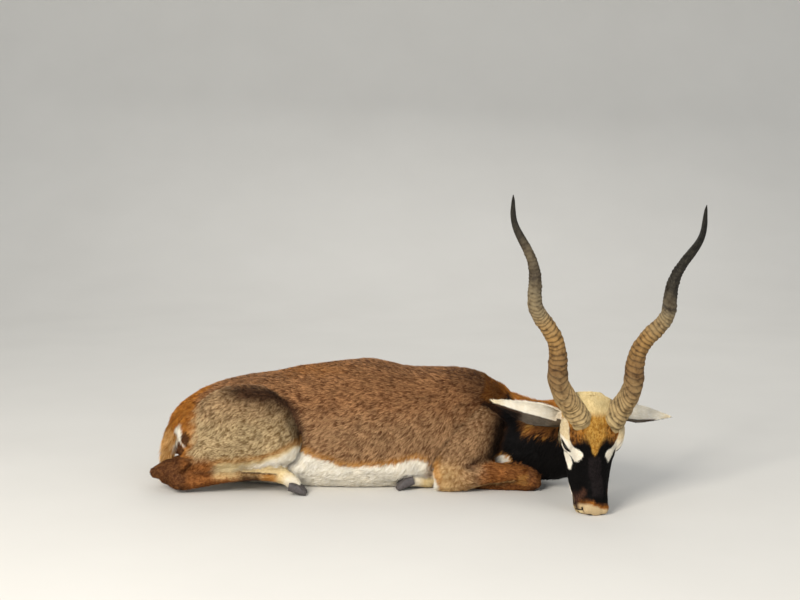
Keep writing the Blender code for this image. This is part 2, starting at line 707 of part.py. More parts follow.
def build():
    for obj in list(bpy.data.objects):
        bpy.data.objects.remove(obj)
    brown = material("coat_brown", COAT_BROWN, 0.8)
    black = material("coat_black", COAT_BLACK, 0.75)
    white = material("coat_white", COAT_WHITE, 0.8)
    tan = material("coat_tan", COAT_TAN, 0.8)
    keratin = material("horn", HORN_BROWN, 0.5)
    hoof = material("hoof", HOOF_BLACK, 0.35)
    wet = material("eye", EYE_DARK, 0.05)

    horns = {which: horn(which) for which in HORNS}
    ears = {which: cut(ear(which), horns[which]) for which in EARS}
    sides = {"right": -1, "left": 1}
    eyes = {which: eyeball(side) for which, side in sides.items()}
    skull = head_form()
    openings = [eye_opening(side) for side in sides.values()]
    head = cut(skull, *horns.values(), *ears.values(), *openings, *eyes.values())
    torso, neck = trunk()
    neck = cut(neck, skull, *ears.values())
    tail_form = tube(resampled(TAIL, 24), sides=16, level=Vector((0, 1, 0)))
    tail = reduced(fused([tail_form], voxel=0.0028, rounds=3), TRIANGLES["tail"])
    torso = cut(torso, tail)

    for which, side in sides.items():
        thigh, upper = haunch(side), arm(side)
        hind_hooves, fore_hooves = claws(HIND_HOOF, side), claws(FORE_HOOF, side)
        hind_foot, fore_foot = hock(side), knee(side)
        hind = cut(hind_foot, thigh, *hind_hooves)
        fore = cut(fore_foot, upper, *fore_hooves)
        torso = cut(torso, thigh, upper, hind_foot, fore_foot, *fore_hooves)
        neck = cut(neck, upper, fore_foot)
        node(f"hindleg_{which}_thigh", thigh, brown)
        node(f"hindleg_{which}_cannon", hind, tan)
        node(f"foreleg_{which}_arm", upper, brown)
        node(f"foreleg_{which}_cannon", fore, tan)
        for claw, inner in zip(hind_hooves, ("inner", "outer")):
            node(f"hindleg_{which}_hoof_{inner}", claw, hoof)
        for claw, inner in zip(fore_hooves, ("inner", "outer")):
            node(f"foreleg_{which}_hoof_{inner}", claw, hoof)
        node(f"horn_{which}", horns[which], keratin)
        node(f"ear_{which}", ears[which], white)
        node(f"eye_{which}", eyes[which], wet)
    node("torso", torso, brown)
    node("neck", neck, black)
    node("head", head, black)
    node("tail", rested(tail), tan)


build()
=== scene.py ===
"""The finish of a life-size male blackbuck that lies with folded legs, its head upright on its nose tip.

Metres, +Z up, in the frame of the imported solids: the animal faces +X and its right side faces -Y. One skin
stands for every node of flesh, and a coat of mesh tufts grows on it. Horns, hooves and eyes stay separate.
"""

import math
from itertools import product

import bmesh
import bpy
import numpy as np
from mathutils import Matrix, Vector
from mathutils.bvhtree import BVHTree
from mathutils.kdtree import KDTree


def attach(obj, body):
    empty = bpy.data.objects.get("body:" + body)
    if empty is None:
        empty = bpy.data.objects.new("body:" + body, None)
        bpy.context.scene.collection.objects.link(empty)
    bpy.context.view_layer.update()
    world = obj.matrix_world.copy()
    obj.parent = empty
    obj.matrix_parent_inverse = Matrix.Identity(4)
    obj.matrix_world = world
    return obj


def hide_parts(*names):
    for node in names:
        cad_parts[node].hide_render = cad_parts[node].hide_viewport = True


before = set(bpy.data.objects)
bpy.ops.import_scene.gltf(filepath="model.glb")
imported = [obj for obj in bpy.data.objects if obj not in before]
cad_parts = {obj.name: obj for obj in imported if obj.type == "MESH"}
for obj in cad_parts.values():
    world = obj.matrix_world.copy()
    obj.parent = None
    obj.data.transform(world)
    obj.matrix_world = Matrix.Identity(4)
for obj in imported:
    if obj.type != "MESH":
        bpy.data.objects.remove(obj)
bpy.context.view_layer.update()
scene = bpy.context.scene
COAT_SEED = 51
rng = np.random.default_rng(COAT_SEED)

# The camera stands in front of the animal's right side and looks slightly down.
CAMERA_AT = (0.07, -2.83, 0.70)
CAMERA_PITCH = math.radians(83.36)
CAMERA_LENS = 63.0

# The floor is a strip that turns up behind the animal: where it turns, its size and the turn's radius.
FLOOR_LEVEL_TO = 0.45
FLOOR_TURNED_BY = 0.65
FLOOR_LONG = 20.0
FLOOR_HALF_WIDE = 12.0
FLOOR_FRONT = -6.5
FLOOR_BEND = 2.4
# The lamps: name, place, size, power and colour, all aimed at the same point.
LAMPS = (
    ("key", (-1.5, -2.9, 2.0), 1.4, 150.0, (1.0, 0.965, 0.91)),
    ("fill", (2.4, -2.6, 1.4), 2.5, 34.0, (1.0, 1.0, 1.0)),
    ("back", (0.4, 2.8, 2.6), 2.5, 34.0, (1.0, 1.0, 1.0)),
)
LAMPS_AIM = (0.15, -0.05, 0.12)
SKY = (0.86, 0.92, 1.0, 1.0)
SKY_STRENGTH = 0.55

# The skull's frame: x across, y from the nose tip to the poll, z out of the face.
HEAD_AT = Vector((0.4365, -0.297, 0.0015))
FACE_LEAN = math.radians(11.0)
FACE_TURN = math.radians(10.0)
SKULL = (
    Matrix.Translation(HEAD_AT)
    @ Matrix.Rotation(math.pi / 2 - FACE_LEAN, 4, "X")
    @ Matrix.Rotation(FACE_TURN, 4, "Y")
)
# The trunk's roll about its long axis.
ROLL = math.radians(7.0)
ROLL_AT = Matrix.Translation((0, 0, 0.10))
ROLLED = ROLL_AT @ Matrix.Rotation(-ROLL, 4, "X") @ ROLL_AT.inverted()

# Skull rings, nose to poll: y, face level, level of the widest, half width, jaw level.
SKULL_RINGS = (
    (-0.001, -0.009, -0.020, 0.0100, -0.031),
    (0.0055, -0.001, -0.020, 0.0205, -0.042),
    (0.018, 0.0035, -0.022, 0.0262, -0.049),
    (0.038, 0.0050, -0.026, 0.0268, -0.056),
    (0.063, 0.0060, -0.033, 0.0312, -0.068),
    (0.090, 0.0070, -0.039, 0.0380, -0.081),
    (0.115, 0.0085, -0.044, 0.0472, -0.093),
    (0.140, 0.0095, -0.046, 0.0515, -0.104),
    (0.165, 0.0065, -0.047, 0.0530, -0.110),
    (0.190, -0.0020, -0.051, 0.0515, -0.110),
    (0.212, -0.0180, -0.062, 0.0470, -0.104),
    (0.230, -0.0400, -0.066, 0.0330, -0.092),
)
# Masses on each side of the skull: x, y, z, radius across, radius along, radius in depth.
SKULL_MASSES = {
    "brow": (0.0455, 0.1555, -0.0260, 0.0168, 0.0375, 0.0210),
    "cheek": (0.0310, 0.1480, -0.0740, 0.0200, 0.0360, 0.0300),
    "horn seat": (0.0340, 0.1810, -0.0260, 0.0190, 0.0240, 0.0260),
    "lip": (0.0165, 0.0205, -0.0265, 0.0115, 0.0160, 0.0110),
    "nostril wing": (0.0150, 0.0140, -0.0100, 0.0105, 0.0125, 0.0095),
}
CHIN = (0.0, 0.0180, -0.0440, 0.0130, 0.0150, 0.0080)

# The lower jaw is set this far to the head's right, from these levels down and from the cheek to the chin.
JAW_SHIFT = 0.012
JAW_SHIFT_LEVELS = (-0.012, -0.038)
JAW_SHIFT_REACH = (0.120, 0.070)
# How far the back of the skull drops at the poll, and how much further on its left side.
POLL_DROP = 0.0042
POLL_SLOPE = 0.001

# The eyes, half closed: centre, how it looks, half length and half height of the opening, and its slant.
EYE_AT = (0.0410, 0.1335, -0.0320)
EYE_RADIUS = 0.0145
LID_RADIUS = 0.0170
EYE_LOOKS = Vector((0.80, -0.28, 0.53)).normalized()
EYE_OPENING = (0.0125, 0.0044)
EYE_SLANT = math.radians(38.0)

# Each horn: where its axis leaves the skull, its tip, and how far the axis bows outward and where.
HORNS = {
    "right": ((0.4080, -0.2470, 0.1750), (0.294, 0.000, 0.586), (0.0110, 0.65)),
    "left": ((0.4680, -0.2360, 0.1710), (0.696, 0.000, 0.564), (0.0060, 1.50)),
}
HORN_TURNS = ((0.0, -0.45), (0.15, 0.0), (0.31, 1.0), (0.49, 2.0), (0.675, 3.0), (0.862, 4.0), (1.0, 4.7))
HORN_TWIST_RADIUS = 0.0106
# Below its root each horn bends back into the skull, over this share of its length and by this much.
HORN_FOOT_SHARE = 0.05
HORN_FOOT_BEND = Vector((0.0, 0.026, -0.006))
# How far the rings dip towards the face, as a slope, at shares of the horn's length.
HORN_RING_DIP = ((0.0, 0.42), (0.35, 0.24), (0.60, 0.10), (0.80, 0.0))
# Horn half thickness at shares of its length.
HORN_TAPER = (
    (0.00, 0.0212),
    (0.15, 0.0187),
    (0.28, 0.0168),
    (0.40, 0.0152),
    (0.50, 0.0143),
    (0.62, 0.0119),
    (0.72, 0.0094),
    (0.82, 0.0075),
    (0.92, 0.0056),
    (0.98, 0.0030),
    (1.00, 0.0006),
)
HORN_RINGS = 50
HORN_RINGED_SHARE = 0.80
# Each horn's rings are drawn from its own seed.
HORN_SEEDS = {"right": 52, "left": 53}
# The dark of the tip starts this share of the length lower on one horn.
HORN_DARKER_BY = {"right": 0.0, "left": 0.20}
HORN_RING_HEIGHT = 0.0024
HORN_SIDES = 48

# Each ear: root, tip, the way its cup faces, and its widest half width.
EARS = {
    "right": ((0.381, -0.210, 0.1665), (0.2445, -0.190, 0.1990), (0.10, -0.93, 0.36), 0.0225),
    "left": ((0.477, -0.192, 0.1765), (0.6010, -0.125, 0.1545), (0.35, -0.76, 0.55), 0.0198),
}
EAR_THICKNESS = 0.0018
EAR_STEM = 0.0126
EAR_STEM_SUNK = 0.016
EAR_STEM_OUT = 0.010

# Middle lines of neck, tail, hind foot and fore foot on the right side, head end or upper end first.
NECK_PATH = (
    (0.430, -0.190, 0.158),
    (0.414, -0.120, 0.125),
    (0.386, -0.080, 0.106),
    (0.340, -0.042, 0.098),
    (0.290, -0.014, 0.102),
    (0.235, -0.002, 0.112),
    (0.170, 0.000, 0.118),
)
TAIL_PATH = (
    (-0.340, 0.000, 0.150),
    (-0.385, -0.006, 0.120),
    (-0.402, -0.016, 0.074),
    (-0.411, -0.022, 0.005),
)
HIND_PATH = (
    (-0.335, -0.108, 0.070),
    (-0.382, -0.114, 0.045),
    (-0.366, -0.118, 0.023),
    (-0.328, -0.122, 0.026),
    (-0.205, -0.128, 0.038),
    (-0.143, -0.132, 0.026),
    (-0.130, -0.133, 0.010),
)
# Soft flesh that fills the creases under the heel and between thigh and shank, on the left side.
HIND_FILLS = (
    (-0.388, 0.114, 0.029, 0.021, 0.011, 0.014),
    (-0.195, 0.117, 0.050, 0.046, 0.012, 0.011),
)
FORE_PATH = (
    (0.300, -0.101, 0.030),
    (0.336, -0.0995, 0.018),
    (0.318, -0.098, 0.0095),
    (0.260, -0.093, 0.009),
    (0.120, -0.080, 0.015),
    (0.080, -0.092, 0.018),
)

# A hoof: where its pair of claws starts, the way to the toes, and its top.
HOOVES = {
    "hindleg": ((-0.148, -0.133, 0.0180), (1.0, -0.08, -0.30), (0.0, 0.0, 1.0)),
    "foreleg": ((0.0960, -0.0920, 0.0200), (-0.96, -0.16, -0.36), (-0.30, 0.0, 0.95)),
}
CLAW = (
    (0.00, 0.0066, 0.0160),
    (0.30, 0.0082, 0.0178),
    (0.60, 0.0080, 0.0150),
    (0.86, 0.0058, 0.0095),
    (1.00, 0.0026, 0.0040),
)
CLAW_LENGTH = 0.037
CLAW_SPREAD = 0.0090

# Lines pressed into the head, on its left side.
MOUTH_LINE = (
    (0.0000, 0.0030, -0.0315),
    (0.0120, 0.0040, -0.0305),
    (0.0225, 0.0080, -0.0285),
    (0.0255, 0.0200, -0.0315),
    (0.0270, 0.0420, -0.0385),
    (0.0300, 0.0600, -0.0450),
)
NOSTRIL_LINE = (
    (0.0125, -0.0010, -0.0095),
    (0.0175, 0.0018, -0.0110),
    (0.0215, 0.0065, -0.0130),
    (0.0240, 0.0120, -0.0155),
)
NOSE_GROOVE = ((0.0, -0.002, -0.012), (0.0, -0.002, -0.030))
LIP_EDGE = ((0.0268, 0.0409, -0.0349), (0.0263, 0.0190, -0.0284), (0.0253, 0.0080, -0.0255))
# How much lower the nose pad's upper edge runs on the left than on the right.
PAD_SLANT = 0.22
TEAR_LINE = ((0.0365, 0.1080, -0.0200), (0.0345, 0.0960, -0.0210), (0.0325, 0.0880, -0.0240))
JAW_LINE = ((0.0290, 0.0700, -0.0560), (0.0350, 0.1050, -0.0640), (0.0380, 0.1250, -0.0700))
NOSE_BRIDGE = ((0.0150, 0.0450, 0.0), (0.0170, 0.0800, 0.002), (0.0210, 0.1100, 0.003))

# How fine the forms are fused, and the share of triangles that head and ears keep.
BODY_VOXEL = 0.0047
HEAD_VOXEL = 0.00135
EAR_VOXEL = 0.00095
BODY_ROUNDS = 15
HEAD_ROUNDS = 16
EAR_ROUNDS = 3
HEAD_SHARE = 0.62
EAR_SHARE = 0.36

# How deep the coat is on each part of the body, and its tufts: length, width, number to a square metre.
# The coat's right and left pieces meet at COAT_MIDDLE, across the body.
PARTS = ("torso", "neck", "head", "ear", "haunch", "hock", "arm", "knee", "tail")
COAT_MIDDLE = -0.012
COAT_DEPTH = {
    "torso": 0.0032,
    "neck": 0.0038,
    "head": 0.0010,
    "ear": 0.0004,
    "haunch": 0.0030,
    "hock": 0.0014,
    "arm": 0.0026,
    "knee": 0.0014,
    "tail": 0.0028,
}
TUFTS = {
    "torso": (0.0135, 0.00115, 400000),
    "neck": (0.0170, 0.00110, 420000),
    "head": (0.0052, 0.00075, 1150000),
    "ear": (0.0060, 0.00070, 900000),
    "haunch": (0.0115, 0.00105, 470000),
    "hock": (0.0062, 0.00080, 850000),
    "arm": (0.0100, 0.00100, 560000),
    "knee": (0.0060, 0.00080, 850000),
    "tail": (0.0210, 0.00105, 600000),
}
TUFTS_IN_A_PIECE = 66000
# Folds between the limbs and the body: how deep, how wide, the heights over which they fade out, and how dark
# the painted shade in them is.
FOLD_DEPTH = 0.0030
FOLD_REACH = 0.0060
FOLD_LEVELS = (0.185, 0.120)
FOLD_SHADE = 0.75
# Light and dark tips stand in clumps of about this size.
FLECK_SIZE = 0.0024

# Colours of the coat, each as sRGB at the root of the hair and at its tip.
COAT = {
    "brown": ((76, 40, 18), (208, 154, 104)),
    "flank": ((82, 46, 19), (222, 180, 132)),
    "dark": ((34, 18, 9), (96, 62, 40)),
    "black": ((5, 4, 4), (15, 12, 11)),
    "haunch": ((100, 72, 37), (242, 216, 166)),
    "rust": ((136, 74, 18), (206, 140, 60)),
    "ochre": ((160, 102, 36), (226, 174, 102)),
    "tan": ((150, 106, 54), (246, 214, 156)),
    "fox": ((92, 46, 14), (196, 130, 70)),
    "cream": ((214, 188, 134), (250, 236, 192)),
    "white": ((238, 230, 210), (255, 252, 244)),
    "gold": ((158, 102, 26), (246, 200, 104)),
    "dust_and_shade": ((182, 158, 118), (218, 194, 152)),
    "poll": ((206, 182, 128), (238, 218, 166)),
    "grey": ((24, 19, 20), (58, 50, 50)),
    "mauve": ((56, 34, 26), (124, 86, 66)),
    "umber": ((42, 29, 14), (94, 70, 44)),
}


def linear(colour):
    """sRGB from 0 to 255 as linear values."""
    shares = np.array(colour, float) / 255
    return np.where(shares <= 0.04045, shares / 12.92, ((shares + 0.055) / 1.055) ** 2.4)


COAT = {name: (linear(root), linear(tip)) for name, (root, tip) in COAT.items()}


def resampled(rows, count):
    """The rows' columns as smooth curves, read at count even steps."""
    rows = np.array(rows, float)
    padded = np.vstack([2 * rows[0] - rows[1], rows, 2 * rows[-1] - rows[-2]])
    out = []
    for at in np.linspace(0, len(rows) - 1, count):
        i = min(int(at), len(rows) - 2)
        t = at - i
        a, b, c, d = padded[i : i + 4]
        curve = 2 * b + (c - a) * t + (2 * a - 5 * b + 4 * c - d) * t**2 + (3 * b - a - 3 * c + d) * t**3
        out.append(0.5 * curve)
    return out


def ring_edges(ring):
    inside = set(ring)
    return list(dict.fromkeys(e for v in ring for e in v.link_edges if e.other_vert(v) in inside))


def finished(bm):
    """The bmesh as a closed mesh with its faces out."""
    bmesh.ops.recalc_face_normals(bm, faces=bm.faces)
    if bm.calc_volume(signed=True) < 0:
        bmesh.ops.reverse_faces(bm, faces=bm.faces)
    mesh = bpy.data.meshes.new("form")
    bm.to_mesh(mesh)
    bm.free()
    return mesh


def tube(rows, sides=20, level=Vector((0, 0, 1)), squareness=2.0):
    """A closed tube through rings given as x, y, z, half width, reach up and reach down."""
    bm = bmesh.new()
    centres = [Vector(row[:3]) for row in rows]
    rings = []
    for i, row in enumerate(rows):
        along = (centres[min(i + 1, len(rows) - 1)] - centres[max(i - 1, 0)]).normalized()
        across = along.cross(level).normalized()
        up = across.cross(along)
        turned = Matrix((across, up, along)).transposed().to_4x4()
        ring = bmesh.ops.create_circle(bm, cap_ends=False, segments=sides, radius=1)["verts"]
        for v in ring:
            x, y = v.co.x, v.co.y
            swell = (abs(x) ** squareness + abs(y) ** squareness) ** (-1 / squareness)
            v.co = (x * swell * row[3], y * swell * (row[4] if y > 0 else row[5]), 0)
        bmesh.ops.transform(bm, matrix=Matrix.Translation(centres[i]) @ turned, verts=ring)
        rings.append(ring)
    for a, b in zip(rings, rings[1:]):
        bmesh.ops.bridge_loops(bm, edges=ring_edges(a) + ring_edges(b))
    for ring in (rings[0], rings[-1]):
        bmesh.ops.contextual_create(bm, geom=ring)
    bmesh.ops.poke(bm, faces=[f for f in bm.faces if len(f.verts) > 4])
    return finished(bm)


def ball(centre, radii, detail=4):
    bm = bmesh.new()
    placed = Matrix.Translation(centre) @ Matrix.Diagonal((*radii, 1))
    bmesh.ops.create_icosphere(bm, subdivisions=detail, radius=1, matrix=placed)
    return finished(bm)


def joined(meshes):
    bm = bmesh.new()
    for mesh in meshes:
        bm.from_mesh(mesh)
    mesh = bpy.data.meshes.new("joined")
    bm.to_mesh(mesh)
    bm.free()
    return mesh


def changed(mesh, *settings):
    """The mesh after the modifiers given as (type, values)."""
    holder = bpy.data.objects.new("holder", mesh)
    scene.collection.objects.link(holder)
    for kind, values in settings:
        modifier = holder.modifiers.new(kind.lower(), kind)
        for key, value in values.items():
            setattr(modifier, key, value)
    bpy.context.view_layer.update()
    graph = bpy.context.evaluated_depsgraph_get()
    made = bpy.data.meshes.new_from_object(holder.evaluated_get(graph))
    bpy.data.objects.remove(holder)
    return made


def combined(mesh, other, operation):
    """The two closed meshes as one: operation is UNION or DIFFERENCE."""
    tool = bpy.data.objects.new("tool", other)
    scene.collection.objects.link(tool)
    made = changed(mesh, ("BOOLEAN", {"operation": operation, "solver": "MANIFOLD", "object": tool}))
    bpy.data.objects.remove(tool)
    return made


def fused(forms, voxel, rounds, factor=0.5):
    """Overlapping closed forms as one smooth skin."""
    return changed(
        joined(forms),
        ("REMESH", {"mode": "VOXEL", "voxel_size": voxel, "adaptivity": 0.0}),
        ("SMOOTH", {"factor": factor, "iterations": rounds}),
    )


def thinned(mesh, share):
    """The mesh with that share of its triangles, most of them left where it bends."""
    return changed(mesh, ("DECIMATE", {"ratio": share}))


def places(mesh):
    co = np.empty(len(mesh.vertices) * 3, np.float32)
    mesh.vertices.foreach_get("co", co)
    return co.reshape(-1, 3).astype(float)


def normals(mesh):
    no = np.empty(len(mesh.vertices) * 3, np.float32)
    mesh.vertex_normals.foreach_get("vector", no)
    return no.reshape(-1, 3).astype(float)


def placed(mesh, co):
    """The mesh with its vertices moved to those places."""
    mesh.vertices.foreach_set("co", co.astype(np.float32).ravel())
    mesh.update()
    return mesh


def edges_of(mesh):
    pairs = np.empty(len(mesh.edges) * 2, np.int32)
    mesh.edges.foreach_get("vertices", pairs)
    pairs = np.sort(pairs.reshape(-1, 2), axis=1)
    return pairs[np.lexsort(pairs.T[::-1])]


def neighbour_mean(values, pairs):
    """The mean of each vertex's neighbours, for one or more columns."""
    count = np.bincount(pairs.ravel(), minlength=len(values))
    columns = []
    for column in values.reshape(len(values), -1).T:
        total = np.bincount(pairs[:, 0], weights=column[pairs[:, 1]], minlength=len(values))
        total += np.bincount(pairs[:, 1], weights=column[pairs[:, 0]], minlength=len(values))
        columns.append(total / np.maximum(count, 1))
    return np.array(columns).T.reshape(values.shape)


def relaxed(mesh, rounds, share=1.0, shrink=0.5, swell=-0.52):
    """The mesh smoothed without shrinking, by a share that may differ at each vertex."""
    co, pairs = places(mesh), edges_of(mesh)
    share = np.broadcast_to(np.asarray(share, float), (len(co),))[:, None]
    for _ in range(rounds):
        for factor in (shrink, swell):
            co = co + (neighbour_mean(co, pairs) - co) * factor * share
    return placed(mesh, co)


def smooth_step(low, high, value):
    t = np.clip((value - low) / (high - low), 0, 1)
    return t * t * (3 - 2 * t)


def distance_to_line(points, line):
    """Distance from each point to a line of straight runs, and the run's direction there."""
    best = np.full(len(points), 9.0)
    heading = np.zeros((len(points), 3))
    for a, b in zip(line, line[1:]):
        a, run = np.array(a, float), np.array(b, float) - np.array(a, float)
        t = np.clip((points - a) @ run / (run @ run), 0, 1)
        distance = np.linalg.norm(points - a - t[:, None] * run, axis=1)
        nearer = distance < best
        best[nearer] = distance[nearer]
        heading[nearer] = run / np.linalg.norm(run)
    return best, heading


def noise(points, size, seed):
    """Smooth noise from 0 to 1 with features about that size."""
    grid = np.asarray(points, float) / size + 1000.5
    cell = np.floor(grid).astype(np.int64)
    part = grid - cell
    part = part * part * (3 - 2 * part)
    total = np.zeros(len(grid))
    for corner in product((0, 1), repeat=3):
        at = cell + np.array(corner)
        mixed = (at[:, 0] * 73856093) ^ (at[:, 1] * 19349663) ^ (at[:, 2] * 83492791) ^ (seed * 2654435761)
        mixed = ((mixed ^ (mixed >> 13)) * 1274126177) & 0xFFFFFFFF
        mixed = ((mixed ^ (mixed >> 15)) * 2246822519) & 0xFFFFFFFF
        weight = np.prod(np.where(corner, part, 1 - part), axis=1)
        total += weight * (mixed / 0xFFFFFFFF)
    return total


def moved(points, matrix):
    """Points carried by a 4 by 4 matrix."""
    held = np.array(matrix)
    return points @ held[:3, :3].T + held[:3, 3]


def pressed(mesh, line, width, depth, both_sides=True):
    """A groove of that depth along a line, or a ridge where depth is below 0, fading over width."""
    co, out = places(mesh), normals(mesh)
    lines = [line]
    if both_sides:
        lines.append([(-x, y, z) for x, y, z in line])
    for one in lines:
        share = np.exp(-((distance_to_line(co, one)[0] / width) ** 2))
        co -= out * (depth * share)[:, None]
    return placed(mesh, co)


def jaw_share(points):
    """How much of the jaw's shift each place in the skull's frame takes."""
    return smooth_step(*JAW_SHIFT_LEVELS, points[:, 2]) * smooth_step(*JAW_SHIFT_REACH, points[:, 1])


def on_skull(points):
    """Places in the skull's frame, with the jaw carried back under the nose."""
    at = moved(points, SKULL.inverted())
    at[:, 0] += JAW_SHIFT * jaw_share(at)
    return at


def eye_frame(side):
    """The eye's own frame: x along its opening, y across it, z the way it looks."""
    looks = Vector((side * EYE_LOOKS.x, EYE_LOOKS.y, EYE_LOOKS.z))
    along = Vector((side * math.sin(EYE_SLANT), math.cos(EYE_SLANT), 0))
    along = (along - looks * along.dot(looks)).normalized()
    turned = Matrix((along, looks.cross(along), looks)).transposed().to_4x4()
    return Matrix.Translation((side * EYE_AT[0], EYE_AT[1], EYE_AT[2])) @ turned


def eye_opening(side):
    """The pointed oval between the lids, as a prism that cuts through them to the ball."""
    bm = bmesh.new()
    outline = bmesh.ops.create_circle(bm, cap_ends=True, segments=48, radius=1)["verts"]
    for v in outline:
        pointed = 1 - 0.30 * abs(v.co.x) ** 3
        v.co = (v.co.x * EYE_OPENING[0], v.co.y * EYE_OPENING[1] * pointed, EYE_RADIUS * 0.45)
    lid = bmesh.ops.extrude_face_region(bm, geom=bm.faces[:])["geom"]
    far = [v for v in lid if isinstance(v, bmesh.types.BMVert)]
    bmesh.ops.translate(bm, vec=(0, 0, EYE_RADIUS * 1.6), verts=far)
    bmesh.ops.transform(bm, matrix=eye_frame(side), verts=bm.verts)
    return finished(bm)


def head_form():
    """The head in its own frame, inside the solid by the short coat of the face."""
    rows = [(0, y, mid, wide, top - mid, mid - low) for y, top, mid, wide, low in SKULL_RINGS]
    forms = [tube(resampled(rows, 60), sides=48, squareness=2.25)]
    for x, y, z, *radii in SKULL_MASSES.values():
        forms += [ball((side * x, y, z), radii) for side in (-1, 1)]
    forms.append(ball(CHIN[:3], CHIN[3:]))
    for side in (-1, 1):
        forms.append(ball(eye_frame(side).to_translation(), (LID_RADIUS,) * 3))
    skin = fused(forms, HEAD_VOXEL, HEAD_ROUNDS)
    skin = placed(skin, places(skin) - normals(skin) * COAT_DEPTH["head"])
    pressed(skin, MOUTH_LINE, 0.0019, 0.0042)
    pressed(skin, [(x, y, z - 0.006) for x, y, z in MOUTH_LINE[1:]], 0.0040, -0.0010)
    pressed(skin, [(x, y, z + 0.005) for x, y, z in MOUTH_LINE[1:]], 0.0035, -0.0008)
    pressed(skin, NOSTRIL_LINE, 0.0021, 0.0056)
    pressed(skin, [(x + 0.0035, y + 0.001, z + 0.0015) for x, y, z in NOSTRIL_LINE], 0.0030, -0.0010)
    pressed(skin, NOSE_GROOVE, 0.0012, 0.0015, both_sides=False)
    pressed(skin, TEAR_LINE, 0.0022, 0.0026)
    pressed(skin, JAW_LINE, 0.0090, 0.0022)
    pressed(skin, NOSE_BRIDGE, 0.0060, -0.0010)
    co = places(skin)
    co[:, 0] -= JAW_SHIFT * jaw_share(co)
    drop = POLL_DROP + POLL_SLOPE * smooth_step(-0.016, 0.030, co[:, 0])
    co[:, 1] -= drop * smooth_step(0.185, 0.225, co[:, 1])
    skin = thinned(placed(skin, co), HEAD_SHARE)
    for side in (-1, 1):
        skin = combined(skin, eye_opening(side), "DIFFERENCE")
        hollow = ball(eye_frame(side).to_translation(), (EYE_RADIUS - 0.0002,) * 3)
        skin = combined(skin, hollow, "DIFFERENCE")
    skin.transform(SKULL)
    return skin


def ear_frame(which):
    """Root, direction to the tip, direction the cup faces, direction across, and length."""
    root, tip, cup_faces, _ = EARS[which]
    root, tip = Vector(root), Vector(tip)
    along = (tip - root).normalized()
    faces = Vector(cup_faces)
    faces = (faces - along * faces.dot(along)).normalized()
    return root, along, faces, along.cross(faces), (tip - root).length


def ear(which):
    """A leaf rolled into a cup, nearly a tube at its root and flat towards its point."""
    root, along, faces, across, length = ear_frame(which)
    half_width = EARS[which][3]
    bm = bmesh.new()
    bmesh.ops.create_grid(bm, x_segments=24, y_segments=60, size=1)
    for v in bm.verts:
        t, s = v.co.x, (v.co.y + 1) / 2
        roll = math.radians(152 - 105 * min(1, s / 0.45) ** 0.8)
        narrowing = 1 - max(0, (s - 0.34) / 0.66) ** 1.55
        width = half_width * (0.62 + 0.38 * min(1, s / 0.34)) * max(0.03, narrowing)
        bend = width / min(1.0, math.sin(min(roll, math.pi / 2)))
        droop = -0.06 * length * math.sin(math.pi * s)
        v.co = (
            root
            + along * length * s
            + across * (bend * math.sin(roll * t) + droop * 0.4)
            + faces * bend * (math.cos(roll) * 0.35 + 0.30 - math.cos(roll * t) * 0.95)
        )
    leaf = bpy.data.meshes.new("leaf")
    bm.to_mesh(leaf)
    bm.free()
    leaf = changed(leaf, ("SOLIDIFY", {"thickness": EAR_THICKNESS, "offset": 0.0, "use_even_offset": True}))
    ends = (root - along * EAR_STEM_SUNK, root + along * EAR_STEM_OUT)
    stem = tube([(*end, EAR_STEM, EAR_STEM, EAR_STEM) for end in ends], sides=24)
    return thinned(fused([leaf, stem], EAR_VOXEL, EAR_ROUNDS), EAR_SHARE)


def part_of(node_name):
    """Which part of the body a node of flesh belongs to, or None."""
    for ending, part in (("thigh", "haunch"), ("arm", "arm")):
        if node_name.endswith(ending):
            return part
    if node_name.endswith("cannon"):
        return "hock" if node_name.startswith("hindleg") else "knee"
    if node_name.startswith("ear_"):
        return "ear"
    return node_name if node_name in PARTS else None


FLESH = {name: part_of(name) for name in sorted(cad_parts) if part_of(name)}


def flesh_copy(name, swollen):
    """A node of flesh as a merged mesh, swollen a little so that it overlaps its neighbours."""
    bm = bmesh.new()
    bm.from_mesh(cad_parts[name].data)
    bmesh.ops.remove_doubles(bm, verts=bm.verts, dist=1e-6)
    bm.normal_update()
    moves = [(v, v.co + v.normal * swollen) for v in bm.verts]
    for v, place in moves:
        v.co = place
    mesh = bpy.data.meshes.new(name)
    bm.to_mesh(mesh)
    bm.free()
    return mesh


def flesh_tree():
    """A search tree over every node of flesh, and the part that each of its faces belongs to."""
    verts, faces, parts = [], [], []
    for name, part in FLESH.items():
        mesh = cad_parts[name].data
        start = len(verts)
        verts += [v.co.copy() for v in mesh.vertices]
        for polygon in mesh.polygons:
            faces.append([start + i for i in polygon.vertices])
            parts.append(PARTS.index(part))
    return BVHTree.FromPolygons(verts, faces), np.array(parts)


def nearest_part(points, tree, parts):
    return np.array([parts[tree.find_nearest(p)[2]] for p in points])


def distances(points, mesh):
    tree = BVHTree.FromPolygons([v.co for v in mesh.vertices], [p.vertices for p in mesh.polygons])
    return np.array([tree.find_nearest(p)[3] for p in points])


def folds(mesh, parts, reach):
    """How near each vertex is to a fold where a limb lies against the body, from 0 to 1."""
    limb = np.isin(parts, [PARTS.index(name) for name in ("haunch", "hock", "arm", "knee")])
    a, b = edges_of(mesh).T
    meets = (parts[a] != parts[b]) & (limb[a] | limb[b])
    co = places(mesh)
    fold = (co[a[meets]] + co[b[meets]]) / 2
    tree = KDTree(len(fold))
    for number, place in enumerate(fold):
        tree.insert(place, number)
    tree.balance()
    distance = np.array([tree.find(place)[2] for place in co])
    return np.exp(-((distance / reach) ** 2)) * smooth_step(*FOLD_LEVELS, co[:, 2])


